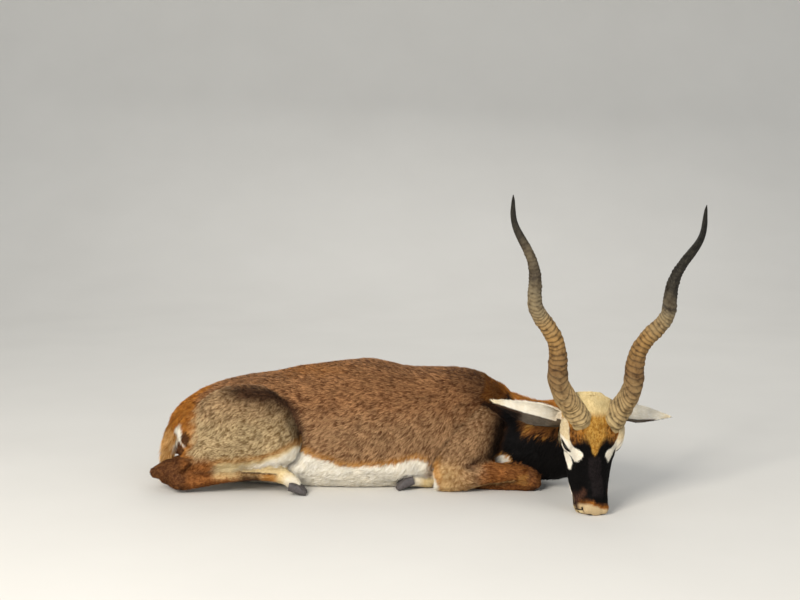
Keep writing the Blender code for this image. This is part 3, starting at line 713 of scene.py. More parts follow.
def body_form(tree, parts):
    """Trunk, neck, tail and legs as one smooth form, inside the solids by the coat's depth."""
    names = [name for name, part in FLESH.items() if part not in ("head", "ear")]
    forms = [flesh_copy(name, 0.0006) for name in names]
    for x, y, z, *radii in HIND_FILLS:
        forms += [ball((x, side * y, z), radii, detail=3) for side in (-1, 1)]
    skin = fused(forms, BODY_VOXEL, rounds=0)
    part = nearest_part(places(skin), tree, parts)
    slim = np.isin(part, [PARTS.index(name) for name in ("hock", "knee", "tail")])
    pairs = edges_of(skin)
    share = np.where(slim, 0.35, 1.0)
    for _ in range(6):
        share = neighbour_mean(share, pairs)
    skin = relaxed(skin, BODY_ROUNDS, share)
    depth = np.array([COAT_DEPTH[name] for name in PARTS])[part]
    for _ in range(8):
        depth = neighbour_mean(depth, pairs)
    depth += FOLD_DEPTH * folds(skin, part, FOLD_REACH)
    co = places(skin) - normals(skin) * depth[:, None]
    floor = co[:, 2] < 0.0004
    co[floor, 2] = 0.0004
    return placed(skin, co)


def skin_form(tree, parts):
    """Body, head and ears as one closed skin, its creases smoothed where they meet."""
    body, head = body_form(tree, parts), head_form()
    skin = combined(body, head, "UNION")
    co = places(skin)
    crease = np.maximum(distances(co, body), distances(co, head))
    skin = relaxed(skin, 14, np.clip(1 - crease / 0.014, 0, 1), swell=0.0)
    for which in EARS:
        cup = ear(which)
        before = skin
        skin = combined(skin, cup, "UNION")
        co = places(skin)
        near = np.linalg.norm(co - np.array(EARS[which][0]), axis=1) < 0.05
        crease = np.full(len(co), 1.0)
        crease[near] = np.maximum(distances(co[near], before), distances(co[near], cup))
        skin = relaxed(skin, 8, np.clip(1 - crease / 0.006, 0, 1), swell=0.0)
    co = places(skin)
    co[:, 2] = np.maximum(co[:, 2], 0.0003)
    return placed(skin, co)


def unwrapped(obj):
    """Gives the skin an unwrap of its own shape, in a map named OFBake."""
    obj.data.uv_layers.new(name="OFBake")
    bpy.ops.object.select_all(action="DESELECT")
    obj.select_set(True)
    bpy.context.view_layer.objects.active = obj
    bpy.ops.object.mode_set(mode="EDIT")
    bpy.ops.mesh.select_all(action="SELECT")
    bpy.ops.uv.smart_project(angle_limit=math.radians(66), island_margin=0.002)
    bpy.ops.object.mode_set(mode="OBJECT")
    obj.select_set(False)


def shown(name, mesh, finish, slot, *replaced):
    """A finished piece of the animal."""
    obj = bpy.data.objects.new(name, mesh)
    scene.collection.objects.link(obj)
    mesh.materials.clear()
    mesh.materials.append(finish)
    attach(obj, "root")
    if replaced:
        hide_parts(*replaced)
    return obj


def right_side(points, parts):
    """Each place carried to the same spot of the right side, and whether it was on the left."""
    legs = np.isin(parts, [PARTS.index(name) for name in ("hock", "knee", "arm")])
    level = moved(points, ROLLED.inverted())
    mirrored_trunk = level.copy()
    mirrored_trunk[:, 1] = -np.abs(level[:, 1])
    out = moved(mirrored_trunk, ROLLED)
    out[legs] = points[legs]
    out[legs, 1] = -np.abs(points[legs, 1])
    left = np.where(legs, points[:, 1] > 0, level[:, 1] > 0)
    return out, left


def curve(value, table):
    xs, ys = np.transpose(table)
    return np.interp(value, xs, ys)


# Where the white of the belly ends on the flank, and the cream of the thigh, as heights along the body.
BELLY_EDGE = (
    (-0.30, 0.075),
    (-0.16, 0.108),
    (-0.131, 0.0945),
    (-0.098, 0.078),
    (-0.068, 0.0665),
    (-0.039, 0.0585),
    (-0.009, 0.0560),
    (0.021, 0.0580),
    (0.050, 0.0620),
    (0.090, 0.0700),
    (0.110, 0.0720),
    (0.128, 0.0660),
    (0.150, 0.0350),
    (0.230, 0.0300),
    (0.300, 0.0250),
)
THIGH_EDGE = (
    (-0.32, 0.040),
    (-0.273, 0.066),
    (-0.2245, 0.066),
    (-0.1855, 0.072),
    (-0.155, 0.088),
    (-0.132, 0.101),
)
# A dark band of painted shade along the top and front edge of the haunch, where it meets the flank, and the
# line above which the trunk's brown lies.
HAUNCH_EDGE_SHADE = (
    (-0.262, -0.104, 0.2025),
    (-0.236, -0.109, 0.2030),
    (-0.202, -0.107, 0.1985),
    (-0.168, -0.098, 0.1890),
    (-0.145, -0.097, 0.1755),
    (-0.128, -0.106, 0.1560),
    (-0.120, -0.113, 0.1300),
    (-0.121, -0.116, 0.1050),
)
HAUNCH_TOP = (
    (-0.300, 0.199),
    (-0.262, 0.2035),
    (-0.202, 0.2000),
    (-0.168, 0.1900),
    (-0.145, 0.1765),
    (-0.128, 0.1570),
    (-0.120, 0.1310),
)
# Behind the haunch: the dark spot and the white line beside the tail.
BUTTOCK_SPOT = (-0.353, -0.096, 0.108)
BUTTOCK_LINE = ((-0.372, -0.082, 0.104), (-0.3655, -0.083, 0.0935), (-0.352, -0.104, 0.0900))
# The orange fringe of the neck: its lower edge, and the lower edge of the ear's shadow painted over it.
FRINGE_LOW = ((0.300, 0.134), (0.312, 0.121), (0.336, 0.121), (0.359, 0.125), (0.376, 0.133), (0.420, 0.160))
EAR_SHADOW_LOW = ((0.300, 0.130), (0.316, 0.133), (0.345, 0.1385), (0.371, 0.145), (0.420, 0.168))
# The lower edge of the rust along the nape, and the pale spot of the brisket.
NAPE_LOW = ((0.250, 0.174), (0.300, 0.172), (0.325, 0.156), (0.360, 0.150))
BRISKET_SPOT = (0.280, -0.086, 0.0655)
# Painted shade along the fold above the forearm, and the pale line along its lower edge.
ELBOW_FOLD_SHADE = ((0.203, -0.130, 0.055), (0.224, -0.124, 0.066), (0.245, -0.118, 0.076), (0.285, -0.112, 0.066))
FOREARM_LINE = ((0.200, 0.0110), (0.295, 0.0240))
# Where the rust of the rump begins, at heights.
RUMP_EDGE = (
    (0.05, -0.345),
    (0.133, -0.341),
    (0.160, -0.338),
    (0.183, -0.331),
    (0.200, -0.305),
    (0.225, -0.250),
)
# The face's markings, as seen from in front: how far out from their middle line each edge lies at a height.
FACE_MIDDLE = ((0.055, 0.000), (0.075, -0.006), (0.120, -0.006), (0.150, -0.003))
WHITE_INNER = (
    (0.0960, 0.0300),
    (0.0990, 0.0262),
    (0.1036, 0.0219),
    (0.1092, 0.0194),
    (0.1148, 0.0208),
    (0.1203, 0.0260),
    (0.1239, 0.0330),
    (0.1312, 0.0400),
    (0.1406, 0.0455),
    (0.1499, 0.0470),
    (0.1592, 0.0468),
    (0.1780, 0.0490),
)
# The same, but the height at distances out: the mask's upper edge, and the dark line that ends the white.
MASK_EDGE = (
    (0.0000, 0.1080),
    (0.0045, 0.1140),
    (0.0072, 0.1215),
    (0.0095, 0.1260),
    (0.0130, 0.1310),
    (0.0205, 0.1338),
    (0.0300, 0.1308),
    (0.0360, 0.1275),
    (0.0460, 0.1200),
)
LID_LINE = (
    (0.0270, 0.0955),
    (0.0290, 0.0985),
    (0.0330, 0.1058),
    (0.0370, 0.1123),
    (0.0415, 0.1190),
    (0.0470, 0.1253),
    (0.0520, 0.1308),
    (0.0550, 0.1346),
    (0.0600, 0.1420),
)
# The white under the eye, between these levels out of the face at heights up the skull.
UNDER_FRONT = (
    (0.0820, -0.0310),
    (0.0840, -0.0292),
    (0.0973, -0.0246),
    (0.1066, -0.0257),
    (0.1176, -0.0313),
    (0.1296, -0.040),
)
UNDER_BACK = ((0.0820, -0.0310), (0.0840, -0.0326), (0.0965, -0.0450), (0.1090, -0.0560), (0.1296, -0.0680))
SIDE_PATCH = ((0.0310, 0.0310, -0.0230), (0.0230, 0.0430, -0.0100))


class Paint:
    """The coat's two colours at a list of places, laid on coat by coat."""

    def __init__(self, count, name):
        self.root = np.tile(COAT[name][0], (count, 1))
        self.tip = np.tile(COAT[name][1], (count, 1))

    def lay(self, name, mask):
        mask = np.clip(mask, 0, 1)[:, None]
        self.root += (COAT[name][0] - self.root) * mask
        self.tip += (COAT[name][1] - self.tip) * mask

    def take(self, other, where):
        self.root[where] = other.root
        self.tip[where] = other.tip


def torso_paint(p, wave):
    x, y, z = p.T
    paint = Paint(len(p), "brown")
    paint.lay("flank", 0.80 * smooth_step(0.19, 0.12, z + 0.012 * wave) * smooth_step(0.26, 0.20, x))
    paint.lay("dark", 0.45 * smooth_step(0.17, 0.23, x) * smooth_step(0.14, 0.20, z))
    paint.lay("dark", 0.80 * smooth_step(0.205, 0.262, x + 0.3 * (0.12 - z)))
    paint.lay("black", smooth_step(0.245, 0.275, x + 0.2 * (0.12 - z)))
    # Painted shade on the flank along the haunch's edge.
    band = distance_to_line(p, HAUNCH_EDGE_SHADE)[0]
    paint.lay("dark", 0.90 * smooth_step(0.016, 0.003, band + 0.004 * wave))
    paint.lay("rust", 0.45 * smooth_step(0.216, 0.236, z + 0.004 * wave) * smooth_step(0.02, -0.12, x))
    paint.lay("rust", smooth_step(0.014, -0.004, x - curve(z, RUMP_EDGE) + 0.006 * wave))
    paint.lay("ochre", 0.8 * smooth_step(0.235, 0.275, x) * smooth_step(0.150, 0.172, z))
    edge = z - curve(x, BELLY_EDGE) + 0.003 * wave
    behind = smooth_step(0.14, 0.12, x)
    paint.lay("ochre", 0.85 * smooth_step(0.017, 0.004, edge) * behind)
    belly = np.maximum(behind, smooth_step(0.10, 0.06, np.abs(y))) * smooth_step(-0.335, -0.320, x)
    paint.lay("white", smooth_step(0.0025, -0.0025, edge) * belly)
    tail_white(paint, p, wave)
    return paint


def tail_white(paint, p, wave):
    """The white patch beside the root of the tail."""
    x, y, z = p.T
    middle = -0.3735 - 0.16 * (y + 0.07) + 0.25 * (z - 0.112)
    reach = np.hypot((x - middle) / 0.0095, (z - 0.112) / 0.0200)
    paint.lay("white", smooth_step(1.1, 0.85, reach + 0.15 * wave) * (y < -0.008))


def brisket_spot(paint, p, wave):
    spot = np.linalg.norm((p - BRISKET_SPOT) / (1.40, 1.6, 0.85), axis=1)
    paint.lay("ochre", smooth_step(0.0175, 0.0130, spot + 0.002 * wave))
    above = 0.4 * np.clip(p[:, 2] - 0.068, 0, 1)
    paint.lay("white", smooth_step(0.0130, 0.0100, spot + 0.002 * wave + above))


def neck_paint(p, wave):
    x, _, z = p.T
    paint = Paint(len(p), "black")
    fringe = smooth_step(-0.003, 0.009, z - curve(x, FRINGE_LOW) + 0.014 * wave)
    fringe *= smooth_step(0.316, 0.332, x)
    paint.lay("fox", 0.9 * fringe)
    paint.lay("rust", 0.8 * fringe * smooth_step(-0.2, 0.5, wave))
    paint.lay("gold", 0.65 * fringe * smooth_step(0.1, 0.6, wave))
    # Painted shadow of the ear over the upper part of the fringe.
    paint.lay("umber", 0.85 * smooth_step(-0.002, 0.008, z - curve(x, EAR_SHADOW_LOW) + 0.003 * wave) * fringe)
    paint.lay("rust", smooth_step(-0.004, 0.008, z - curve(x, NAPE_LOW) + 0.006 * wave))
    paint.lay("dark", 0.6 * smooth_step(0.030, 0.010, x - 0.26) * smooth_step(0.05, 0.10, z))
    brisket_spot(paint, p, wave)
    return paint


def haunch_paint(p, wave):
    x, y, z = p.T
    paint = Paint(len(p), "haunch")
    paint.lay("flank", 0.6 * smooth_step(0.13, 0.18, z + 0.010 * wave))
    paint.lay("brown", 0.9 * smooth_step(-0.001, 0.007, z - curve(x, HAUNCH_TOP) + 0.003 * wave))
    # Painted shade on the haunch along its top and front edge.
    band = distance_to_line(p, HAUNCH_EDGE_SHADE)[0]
    along = smooth_step(-0.300, -0.225, x)
    paint.lay("dark", 0.55 * along * smooth_step(0.040, 0.015, band + 0.006 * wave))
    paint.lay("dark", 0.90 * along * smooth_step(0.020, 0.006, band + 0.005 * wave))
    paint.lay("rust", smooth_step(0.016, -0.010, x - curve(z, RUMP_EDGE) + 0.008 * wave))
    spot = np.linalg.norm((p - BUTTOCK_SPOT) / (0.75, 1.5, 1.15), axis=1)
    paint.lay("dark", 0.9 * smooth_step(0.0165, 0.0110, spot + 0.002 * wave))
    edge = z - curve(x, THIGH_EDGE) + 0.003 * wave
    paint.lay("ochre", 0.6 * smooth_step(0.020, 0.004, edge))
    paint.lay("cream", smooth_step(0.006, -0.004, edge))
    paint.lay("white", smooth_step(0.000, -0.010, edge) * smooth_step(-0.26, -0.18, x))
    paint.lay("white", smooth_step(-0.080, -0.060, y) * smooth_step(0.085, 0.065, z))
    paint.lay("fox", smooth_step(-0.275, -0.305, x) * smooth_step(0.085, 0.060, z))
    paint.lay("white", smooth_step(0.0046, 0.0026, distance_to_line(p, BUTTOCK_LINE)[0]))
    tail_white(paint, p, wave)
    return paint


def forearm_marks(paint, p, wave):
    """The pale line along the forearm, and the ochre of the wrist."""
    x, _, z = p.T
    line = smooth_step(0.0032, 0.0012, np.abs(z - curve(x, FOREARM_LINE)))
    paint.lay("tan", 0.9 * line * smooth_step(0.200, 0.215, x) * smooth_step(0.296, 0.286, x))
    wrist = smooth_step(0.016, 0.007, np.abs(x - 0.308 + 0.003 * wave))
    paint.lay("ochre", 0.75 * wrist * smooth_step(0.011, 0.016, z) * smooth_step(0.038, 0.031, z))


def arm_paint(p, wave):
    x, y, z = p.T
    paint = Paint(len(p), "flank")
    paint.lay("dark", 0.8 * smooth_step(0.225, 0.275, x + 0.3 * (0.12 - z)) * smooth_step(0.060, 0.075, z))
    paint.lay("black", 0.85 * smooth_step(0.246, 0.270, x + 0.3 * (0.12 - z)) * smooth_step(0.062, 0.072, z))
    low = smooth_step(0.085, 0.040, z)
    paint.lay("tan", 0.90 * low * smooth_step(0.215, 0.165, x + 0.010 * wave))
    paint.lay("fox", smooth_step(0.066, 0.056, z) * smooth_step(0.205, 0.245, x + 0.010 * wave))
    # Painted shade in the fold above the forearm.
    paint.lay("dark", 0.85 * smooth_step(0.013, 0.004, distance_to_line(p, ELBOW_FOLD_SHADE)[0] + 0.003 * wave))
    forearm_marks(paint, p, wave)
    paint.lay("ochre", 0.8 * smooth_step(0.160, 0.146, x + 0.004 * wave))
    paint.lay("white", smooth_step(0.1475, 0.1420, x + 0.3 * (z - 0.03) + 0.003 * wave))
    paint.lay("white", smooth_step(-0.078, -0.062, y) * smooth_step(0.07, 0.05, z))
    brisket_spot(paint, p, wave)
    return paint


def hock_paint(p, wave):
    x, _, z = p.T
    paint = Paint(len(p), "fox")
    # Painted shade on the heel, under the tail.
    paint.lay("dark", 0.65 * smooth_step(-0.345, -0.365, x))
    paint.lay("tan", smooth_step(-0.312, -0.290, x) * smooth_step(0.026, 0.038, z + 0.004 * wave))
    paint.lay("cream", 0.6 * smooth_step(0.030, 0.015, np.abs(x + 0.280)) * smooth_step(0.034, 0.044, z))
    stretch = smooth_step(0.030, 0.010, np.abs(x + 0.230))
    paint.lay("dark", 0.85 * stretch * smooth_step(0.050, 0.034, z + 0.003 * wave))
    paint.lay("ochre", 0.9 * smooth_step(-0.215, -0.190, x))
    along = smooth_step(-0.250, -0.240, x) * smooth_step(-0.165, -0.180, x)
    paint.lay("cream", 0.9 * along * smooth_step(0.0430, 0.0445, z))
    # A thin line of painted shade in the crease under the thigh's edge.
    paint.lay("dark", 0.9 * along * smooth_step(0.0018, 0.0008, np.abs(z - 0.0425)))
    paint.lay("cream", smooth_step(-0.184, -0.168, x + 0.003 * wave))
    paint.lay("white", 0.8 * smooth_step(-0.168, -0.152, x) * smooth_step(0.050, 0.030, z))
    paint.lay("mauve", 0.7 * smooth_step(0.0230, 0.0160, z + 0.004 * wave) * smooth_step(-0.156, -0.144, x))
    return paint


def knee_paint(p, wave):
    x, _, z = p.T
    paint = Paint(len(p), "fox")
    paint.lay("dark", 0.35 * smooth_step(0.015, 0.011, z))
    paint.lay("dark", 0.55 * smooth_step(0.322, 0.336, x + 0.003 * wave))
    forearm_marks(paint, p, wave)
    paint.lay("tan", 0.8 * smooth_step(0.290, 0.260, x) * smooth_step(0.0095, 0.0125, z))
    paint.lay("cream", smooth_step(0.150, 0.130, x))
    paint.lay("white", 0.7 * smooth_step(0.122, 0.108, x))
    return paint


def tail_paint(p, wave):
    x, _, z = p.T
    paint = Paint(len(p), "ochre")
    paint.lay("rust", 0.8 * smooth_step(0.10, 0.14, z))
    paint.lay("tan", 0.35 * smooth_step(0.14, 0.10, z) + 0.35 * smooth_step(0.07, 0.03, z + 0.01 * wave))
    inner = x - np.interp(z, (0.0, 0.04, 0.074, 0.108, 0.136), (-0.405, -0.400, -0.3935, -0.383, -0.362))
    inner = smooth_step(0.000, 0.003, inner)
    paint.lay("white", inner * smooth_step(0.125, 0.115, z) * smooth_step(0.066, 0.080, z))
    return paint


def head_paint(p, wave):
    """Here the places are in the skull's own frame, and the left side stands for both."""
    y, z = p[:, 1], p[:, 2]
    x = np.abs(p[:, 0] - curve(y, FACE_MIDDLE))
    at = np.column_stack([np.abs(p[:, 0]), y, z])
    fleck = smooth_step(0.45, 0.70, noise(p * (1.0, 0.5, 1.0), 0.0024, 21))
    paint = Paint(len(p), "gold")
    side = smooth_step(0.010, 0.032, x + 0.004 * wave) * smooth_step(0.176, 0.158, y)
    paint.lay("rust", 0.55 * side)
    paint.lay("fox", 0.65 * side * smooth_step(0.020, 0.040, x + 0.004 * wave))
    paint.lay("dark", fleck * (0.22 + 0.60 * side))
    paint.lay("poll", smooth_step(0.176, 0.192, y + 0.004 * wave) * smooth_step(-0.060, -0.040, z))
    paint.lay("rust", 0.8 * smooth_step(-0.045, -0.065, z) * smooth_step(0.13, 0.16, y))
    paint.lay("black", smooth_step(-0.050, -0.072, z + 0.006 * wave) * smooth_step(0.10, 0.13, y))
    edge = y - curve(x, MASK_EDGE) + 0.003 * wave
    paint.lay("dark", 0.8 * smooth_step(0.012, 0.002, edge) * smooth_step(0.006, 0.016, x))
    paint.lay("black", smooth_step(0.005, -0.003, edge))
    # Painted sheen: the top of the nose bridge is greyer than the black around it.
    bridge_sheen = smooth_step(0.0135, 0.0085, x + 0.002 * wave) * smooth_step(-0.010, -0.002, z)
    paint.lay("grey", 0.6 * bridge_sheen * smooth_step(0.030, 0.040, y) * smooth_step(0.112, 0.100, y))
    muzzle_marks(paint, p, at, wave)
    eye_marks(paint, at, x, wave)
    nostril = [(x - 0.0028, y + 0.0022, z - 0.0010) for x, y, z in NOSTRIL_LINE]
    paint.lay("black", smooth_step(0.0040, 0.0028, distance_to_line(at, nostril)[0]))
    paint.lay("black", 0.85 * smooth_step(0.0018, 0.0008, distance_to_line(at, MOUTH_LINE)[0]))
    return paint


def muzzle_marks(paint, p, at, wave):
    """The orange band, the pad of the nose, and the lips; at holds the places folded to the left side."""
    y, z = p[:, 1], p[:, 2]
    down = y + PAD_SLANT * p[:, 0]
    front = smooth_step(-0.026, -0.018, z)
    band = front * (0.4 + 0.6 * smooth_step(-0.022, -0.008, p[:, 0]))
    paint.lay("fox", 0.60 * smooth_step(0.0285, 0.0220, down + 0.003 * wave) * band)
    paint.lay("rust", 0.80 * smooth_step(0.0235, 0.0180, down + 0.003 * wave) * band)
    paint.lay("dust_and_shade", smooth_step(0.0180, 0.0140, down + 0.0020 * wave) * front)
    patch = distance_to_line(at, SIDE_PATCH)[0]
    paint.lay("mauve", 0.75 * smooth_step(0.0105, 0.0035, patch + 0.003 * wave))
    paint.lay("mauve", 0.4 * smooth_step(-0.020, -0.026, z) * smooth_step(0.050, 0.030, y))
    lip = [(x + 0.001, y, z - 0.004) for x, y, z in MOUTH_LINE]
    paint.lay("white", smooth_step(-0.0350, -0.0385, z + 0.10 * (y - 0.02)) * smooth_step(0.066, 0.050, y))
    paint.lay("cream", 0.8 * smooth_step(0.0028, 0.0016, distance_to_line(at, lip)[0]))
    paint.lay("dust_and_shade", 0.8 * smooth_step(0.0017, 0.0008, distance_to_line(at, LIP_EDGE)[0]))
    side_lip = smooth_step(0.0105, 0.0085, y) * smooth_step(0.017, 0.020, at[:, 0])
    paint.lay("cream", side_lip * smooth_step(-0.034, -0.030, z) * smooth_step(-0.0180, -0.0205, z))
    paint.lay("black", smooth_step(0.0015, 0.0007, np.abs(y - 0.0108)) * (z < -0.017) * (z > -0.030))


def eye_marks(paint, at, x, wave):
    """The white before, under and around the eye; x is the distance out from the face's middle line."""
    y, z = at[:, 1], at[:, 2]
    lid = y - curve(x, LID_LINE)
    stripe = smooth_step(-0.0006, 0.0008, x - curve(y, WHITE_INNER) + 0.0008 * wave)
    white = stripe * smooth_step(0.0950, 0.0975, y) * smooth_step(0.182, 0.172, y)
    paint.lay("white", white * smooth_step(-0.0004, 0.0006, lid) * smooth_step(-0.056, -0.046, z))
    paint.lay("cream", 0.75 * white * smooth_step(0.126, 0.146, y))
    paint.lay("dust_and_shade", 0.35 * white * smooth_step(0.136, 0.156, y))
    under = smooth_step(0.0006, -0.0006, z - curve(y, UNDER_FRONT) + 0.0006 * wave)
    under *= smooth_step(-0.0020, 0.0020, z - curve(y, UNDER_BACK) + 0.002 * wave)
    under *= smooth_step(0.0825, 0.0845, y) * smooth_step(0.132, 0.127, y)
    paint.lay("white", under * smooth_step(0.0004, -0.0006, lid + 0.0008))
    ring = moved(at, eye_frame(1).inverted())
    halo = np.hypot(ring[:, 0] / (EYE_OPENING[0] + 0.0085), ring[:, 1] / (EYE_OPENING[1] + 0.0085))
    paint.lay("white", smooth_step(1.06, 0.94, halo + 0.04 * wave) * (ring[:, 2] > 0) * stripe)
    almond = np.hypot(ring[:, 0] / (EYE_OPENING[0] + 0.0016), ring[:, 1] / (EYE_OPENING[1] + 0.0013))
    paint.lay("black", smooth_step(1.15, 1.0, almond) * smooth_step(0.004, 0.008, ring[:, 2]))


def ear_paint(p, wave):
    """White inside, brown behind and along the lower edge, that lower brown partly painted shade, and painted
    shadow of the horn at the root. Each row also holds the way the skin faces.
    """
    p, facing = p[:, :3], p[:, 3:]
    paint = Paint(len(p), "white")
    for which, fall, edge in (("right", -1, 0.0045), ("left", 1, 0.0090)):
        root, along, faces, across, length = ear_frame(which)
        here = (p[:, 0] < HEAD_AT.x) == (which == "right")
        offset = p - np.array(root)
        share = offset @ np.array(along) / length
        low = fall * (offset @ np.array(across))
        behind = smooth_step(0.10, -0.25, facing @ np.array(faces))
        paint.lay("cream", 0.6 * here * smooth_step(0.75, 0.95, share))
        paint.lay("umber", here * behind * smooth_step(0.99, 0.90, share))
        # Painted shadow of the horn on the ear's root.
        paint.lay("dust_and_shade", 0.5 * here * smooth_step(0.20, 0.08, share))
        # Along the lower edge, towards the tip and behind: partly the ear's own brown and black, partly
        # painted shade.
        below = smooth_step(-0.0005, 0.0010, low - edge + 0.0006 * wave)
        paint.lay("umber", 0.9 * here * below)
        paint.lay("dark", 0.8 * here * np.maximum(below, behind) * smooth_step(0.48, 0.58, share))
        far = smooth_step(0.003, 0.006, low - edge)
        paint.lay("black", 0.9 * here * np.maximum(far, behind) * smooth_step(0.50, 0.60, share))
        rim = smooth_step(0.0014, 0.0004, np.abs(low - edge - 0.0006))
        paint.lay("dark", 0.6 * here * rim * smooth_step(0.95, 0.80, share))
    return paint


PAINTS = {
    "torso": torso_paint,
    "neck": neck_paint,
    "haunch": haunch_paint,
    "arm": arm_paint,
    "hock": hock_paint,
    "knee": knee_paint,
    "tail": tail_paint,
    "head": head_paint,
    "ear": ear_paint,
}


def painted(points, out, fold, parts):
    """The coat's root and tip colour at each place, with painted shade darkening the folds."""
    paint = Paint(len(points), "brown")
    wave = 2 * noise(points, 0.010, 3) + noise(points, 0.0035, 4) - 1.5
    right, _ = right_side(points, parts)
    for index, name in enumerate(PARTS):
        where = np.flatnonzero(parts == index)
        if not len(where):
            continue
        if name == "head":
            at = on_skull(points[where])
        elif name == "ear":
            at = np.column_stack([points, out])[where]
        elif name in ("neck", "tail"):
            at = points[where]
        else:
            at = right[where]
        paint.take(PAINTS[name](at, wave[where]), where)
    # Painted shade in the folds between the limbs and the body.
    paint.lay("dark", FOLD_SHADE * fold)
    return paint


def lie_of_coat(points, parts):
    """The way the hair points at each place, before it is laid along the skin."""
    right, left = right_side(points, parts)
    out = np.zeros((len(points), 3))
    for index, name in enumerate(PARTS):
        where = np.flatnonzero(parts == index)
        if not len(where):
            continue
        p = right[where]
        x, _, z = p.T
        ones = np.ones(len(p))
        if name == "torso":
            slope = 0.18 + 0.75 * smooth_step(0.22, 0.10, z) * smooth_step(0.03, 0.06, z)
            slope += 0.35 * smooth_step(0.05, 0.2, x) + 1.2 * smooth_step(-0.30, -0.36, x)
            way = np.column_stack([-ones, 0 * x, -slope])
        elif name == "haunch":
            slope = 0.55 + 0.5 * smooth_step(0.10, 0.18, z) + 0.8 * smooth_step(-0.28, -0.34, x)
            way = np.column_stack([-ones, 0 * x, -slope])
        elif name == "arm":
            fore = smooth_step(0.066, 0.054, z) * smooth_step(0.17, 0.21, x)
            way = np.column_stack([-0.75 + 1.75 * fore, 0 * x, -0.75 + 0.65 * fore])
        elif name in ("hock", "knee"):
            way = distance_to_line(p, HIND_PATH if name == "hock" else FORE_PATH)[1]
            way[:, 1] *= np.where(left[where], -1, 1)
        elif name == "neck":
            way = distance_to_line(points[where], NECK_PATH)[1] + (0, 0, -0.9)
        elif name == "tail":
            way = distance_to_line(points[where], TAIL_PATH)[1]
        elif name == "head":
            at = on_skull(points[where])
            outward = 0.25 * np.sign(at[:, 0]) * smooth_step(0.004, 0.03, np.abs(at[:, 0]))
            back = -0.35 * smooth_step(-0.010, -0.040, at[:, 2])
            way = np.column_stack([outward, ones, back]) @ np.array(SKULL)[:3, :3].T
        else:
            way = np.zeros((len(p), 3))
            for which in EARS:
                root, along, *_ = ear_frame(which)
                near = np.linalg.norm(points[where] - np.array(root), axis=1) < 0.16
                near &= (points[where][:, 0] < HEAD_AT.x) == (which == "right")
                way[near] = along
        out[where] = way
    return out


def length_of_coat(points, parts):
    """How much longer or shorter than its part's own length the coat is at each place."""
    out = np.ones(len(points))
    head = parts == PARTS.index("head")
    at = on_skull(points[head])
    length = np.interp(at[:, 1], (0.02, 0.05, 0.12, 0.16, 0.20, 0.23), (0.55, 0.65, 0.85, 1.1, 1.1, 1.1))
    ring = moved(np.column_stack([np.abs(at[:, 0]), at[:, 1:]]), eye_frame(1).inverted())
    length *= np.interp(np.hypot(ring[:, 0], ring[:, 1]), (0.010, 0.030), (0.55, 1.0))
    out[head] = length
    neck = parts == PARTS.index("neck")
    at = points[neck]
    fringe = smooth_step(0.30, 0.33, at[:, 0]) * smooth_step(0.09, 0.12, at[:, 2])
    out[neck] = (1 + 0.35 * fringe) * (1 - 0.55 * smooth_step(0.180, 0.205, at[:, 2]))
    torso = parts == PARTS.index("torso")
    out[torso] = 1 - 0.25 * smooth_step(0.05, 0.02, points[torso][:, 2])
    tail = parts == PARTS.index("tail")
    out[tail] = 0.75 + 0.45 * smooth_step(0.12, 0.03, points[tail][:, 2])
    for name, foot_x in (("hock", -0.150), ("knee", 0.105)):
        leg = parts == PARTS.index(name)
        out[leg] = 1 - 0.35 * smooth_step(0.03, 0.0, np.abs(points[leg][:, 0] - foot_x))
    return out


def bare_places(points, parts):
    """Where no hair grows: nose pad, lids, nostrils, under the horns, and the flats on the floor."""
    bare = points[:, 2] < 0.0012
    head = np.flatnonzero(parts == PARTS.index("head"))
    at = on_skull(points[head])
    folded = np.column_stack([np.abs(at[:, 0]), at[:, 1:]])
    ring = moved(folded, eye_frame(1).inverted())
    lids = np.hypot(ring[:, 0] / (EYE_OPENING[0] + 0.001), ring[:, 1] / (EYE_OPENING[1] + 0.001)) < 1.0
    lids &= ring[:, 2] > 0
    pad = (at[:, 1] + PAD_SLANT * at[:, 0] < 0.0152) & (folded[:, 2] > -0.024)
    nostril = distance_to_line(folded, NOSTRIL_LINE)[0] < 0.003
    bare[head] |= lids | pad | nostril
    for which in HORNS:
        for share in (0.0, 0.03):
            near = np.linalg.norm(points - np.array(horn_line(which, share)), axis=1)
            bare |= near < 0.0190
    return bare


def rooted(skin, density_of_vertex):
    """Places scattered over the skin, triangle by triangle in the order of their corners."""
    mesh = skin.data
    mesh.calc_loop_triangles()
    corners = np.empty(len(mesh.loop_triangles) * 3, np.int32)
    mesh.loop_triangles.foreach_get("vertices", corners)
    loops = np.empty(len(mesh.loop_triangles) * 3, np.int32)
    mesh.loop_triangles.foreach_get("loops", loops)
    corners, loops = corners.reshape(-1, 3), loops.reshape(-1, 3)
    turn = np.argsort(corners, axis=1)
    corners, loops = np.take_along_axis(corners, turn, 1), np.take_along_axis(loops, turn, 1)
    order = np.lexsort(corners.T[::-1])
    corners, loops = corners[order], loops[order]
    co = places(mesh)
    a, b, c = co[corners[:, 0]], co[corners[:, 1]], co[corners[:, 2]]
    area = np.linalg.norm(np.cross(b - a, c - a), axis=1) / 2
    wanted = area * density_of_vertex[corners].mean(axis=1)
    count = np.floor(wanted + rng.random(len(wanted))).astype(int)
    chosen = np.repeat(np.arange(len(count)), count)
    u, v = rng.random((2, len(chosen)))
    over = u + v > 1
    u[over], v[over] = 1 - u[over], 1 - v[over]
    return corners[chosen], loops[chosen], np.column_stack([1 - u - v, u, v])


def unit(vectors):
    return vectors / np.maximum(np.linalg.norm(vectors, axis=1), 1e-9)[:, None]


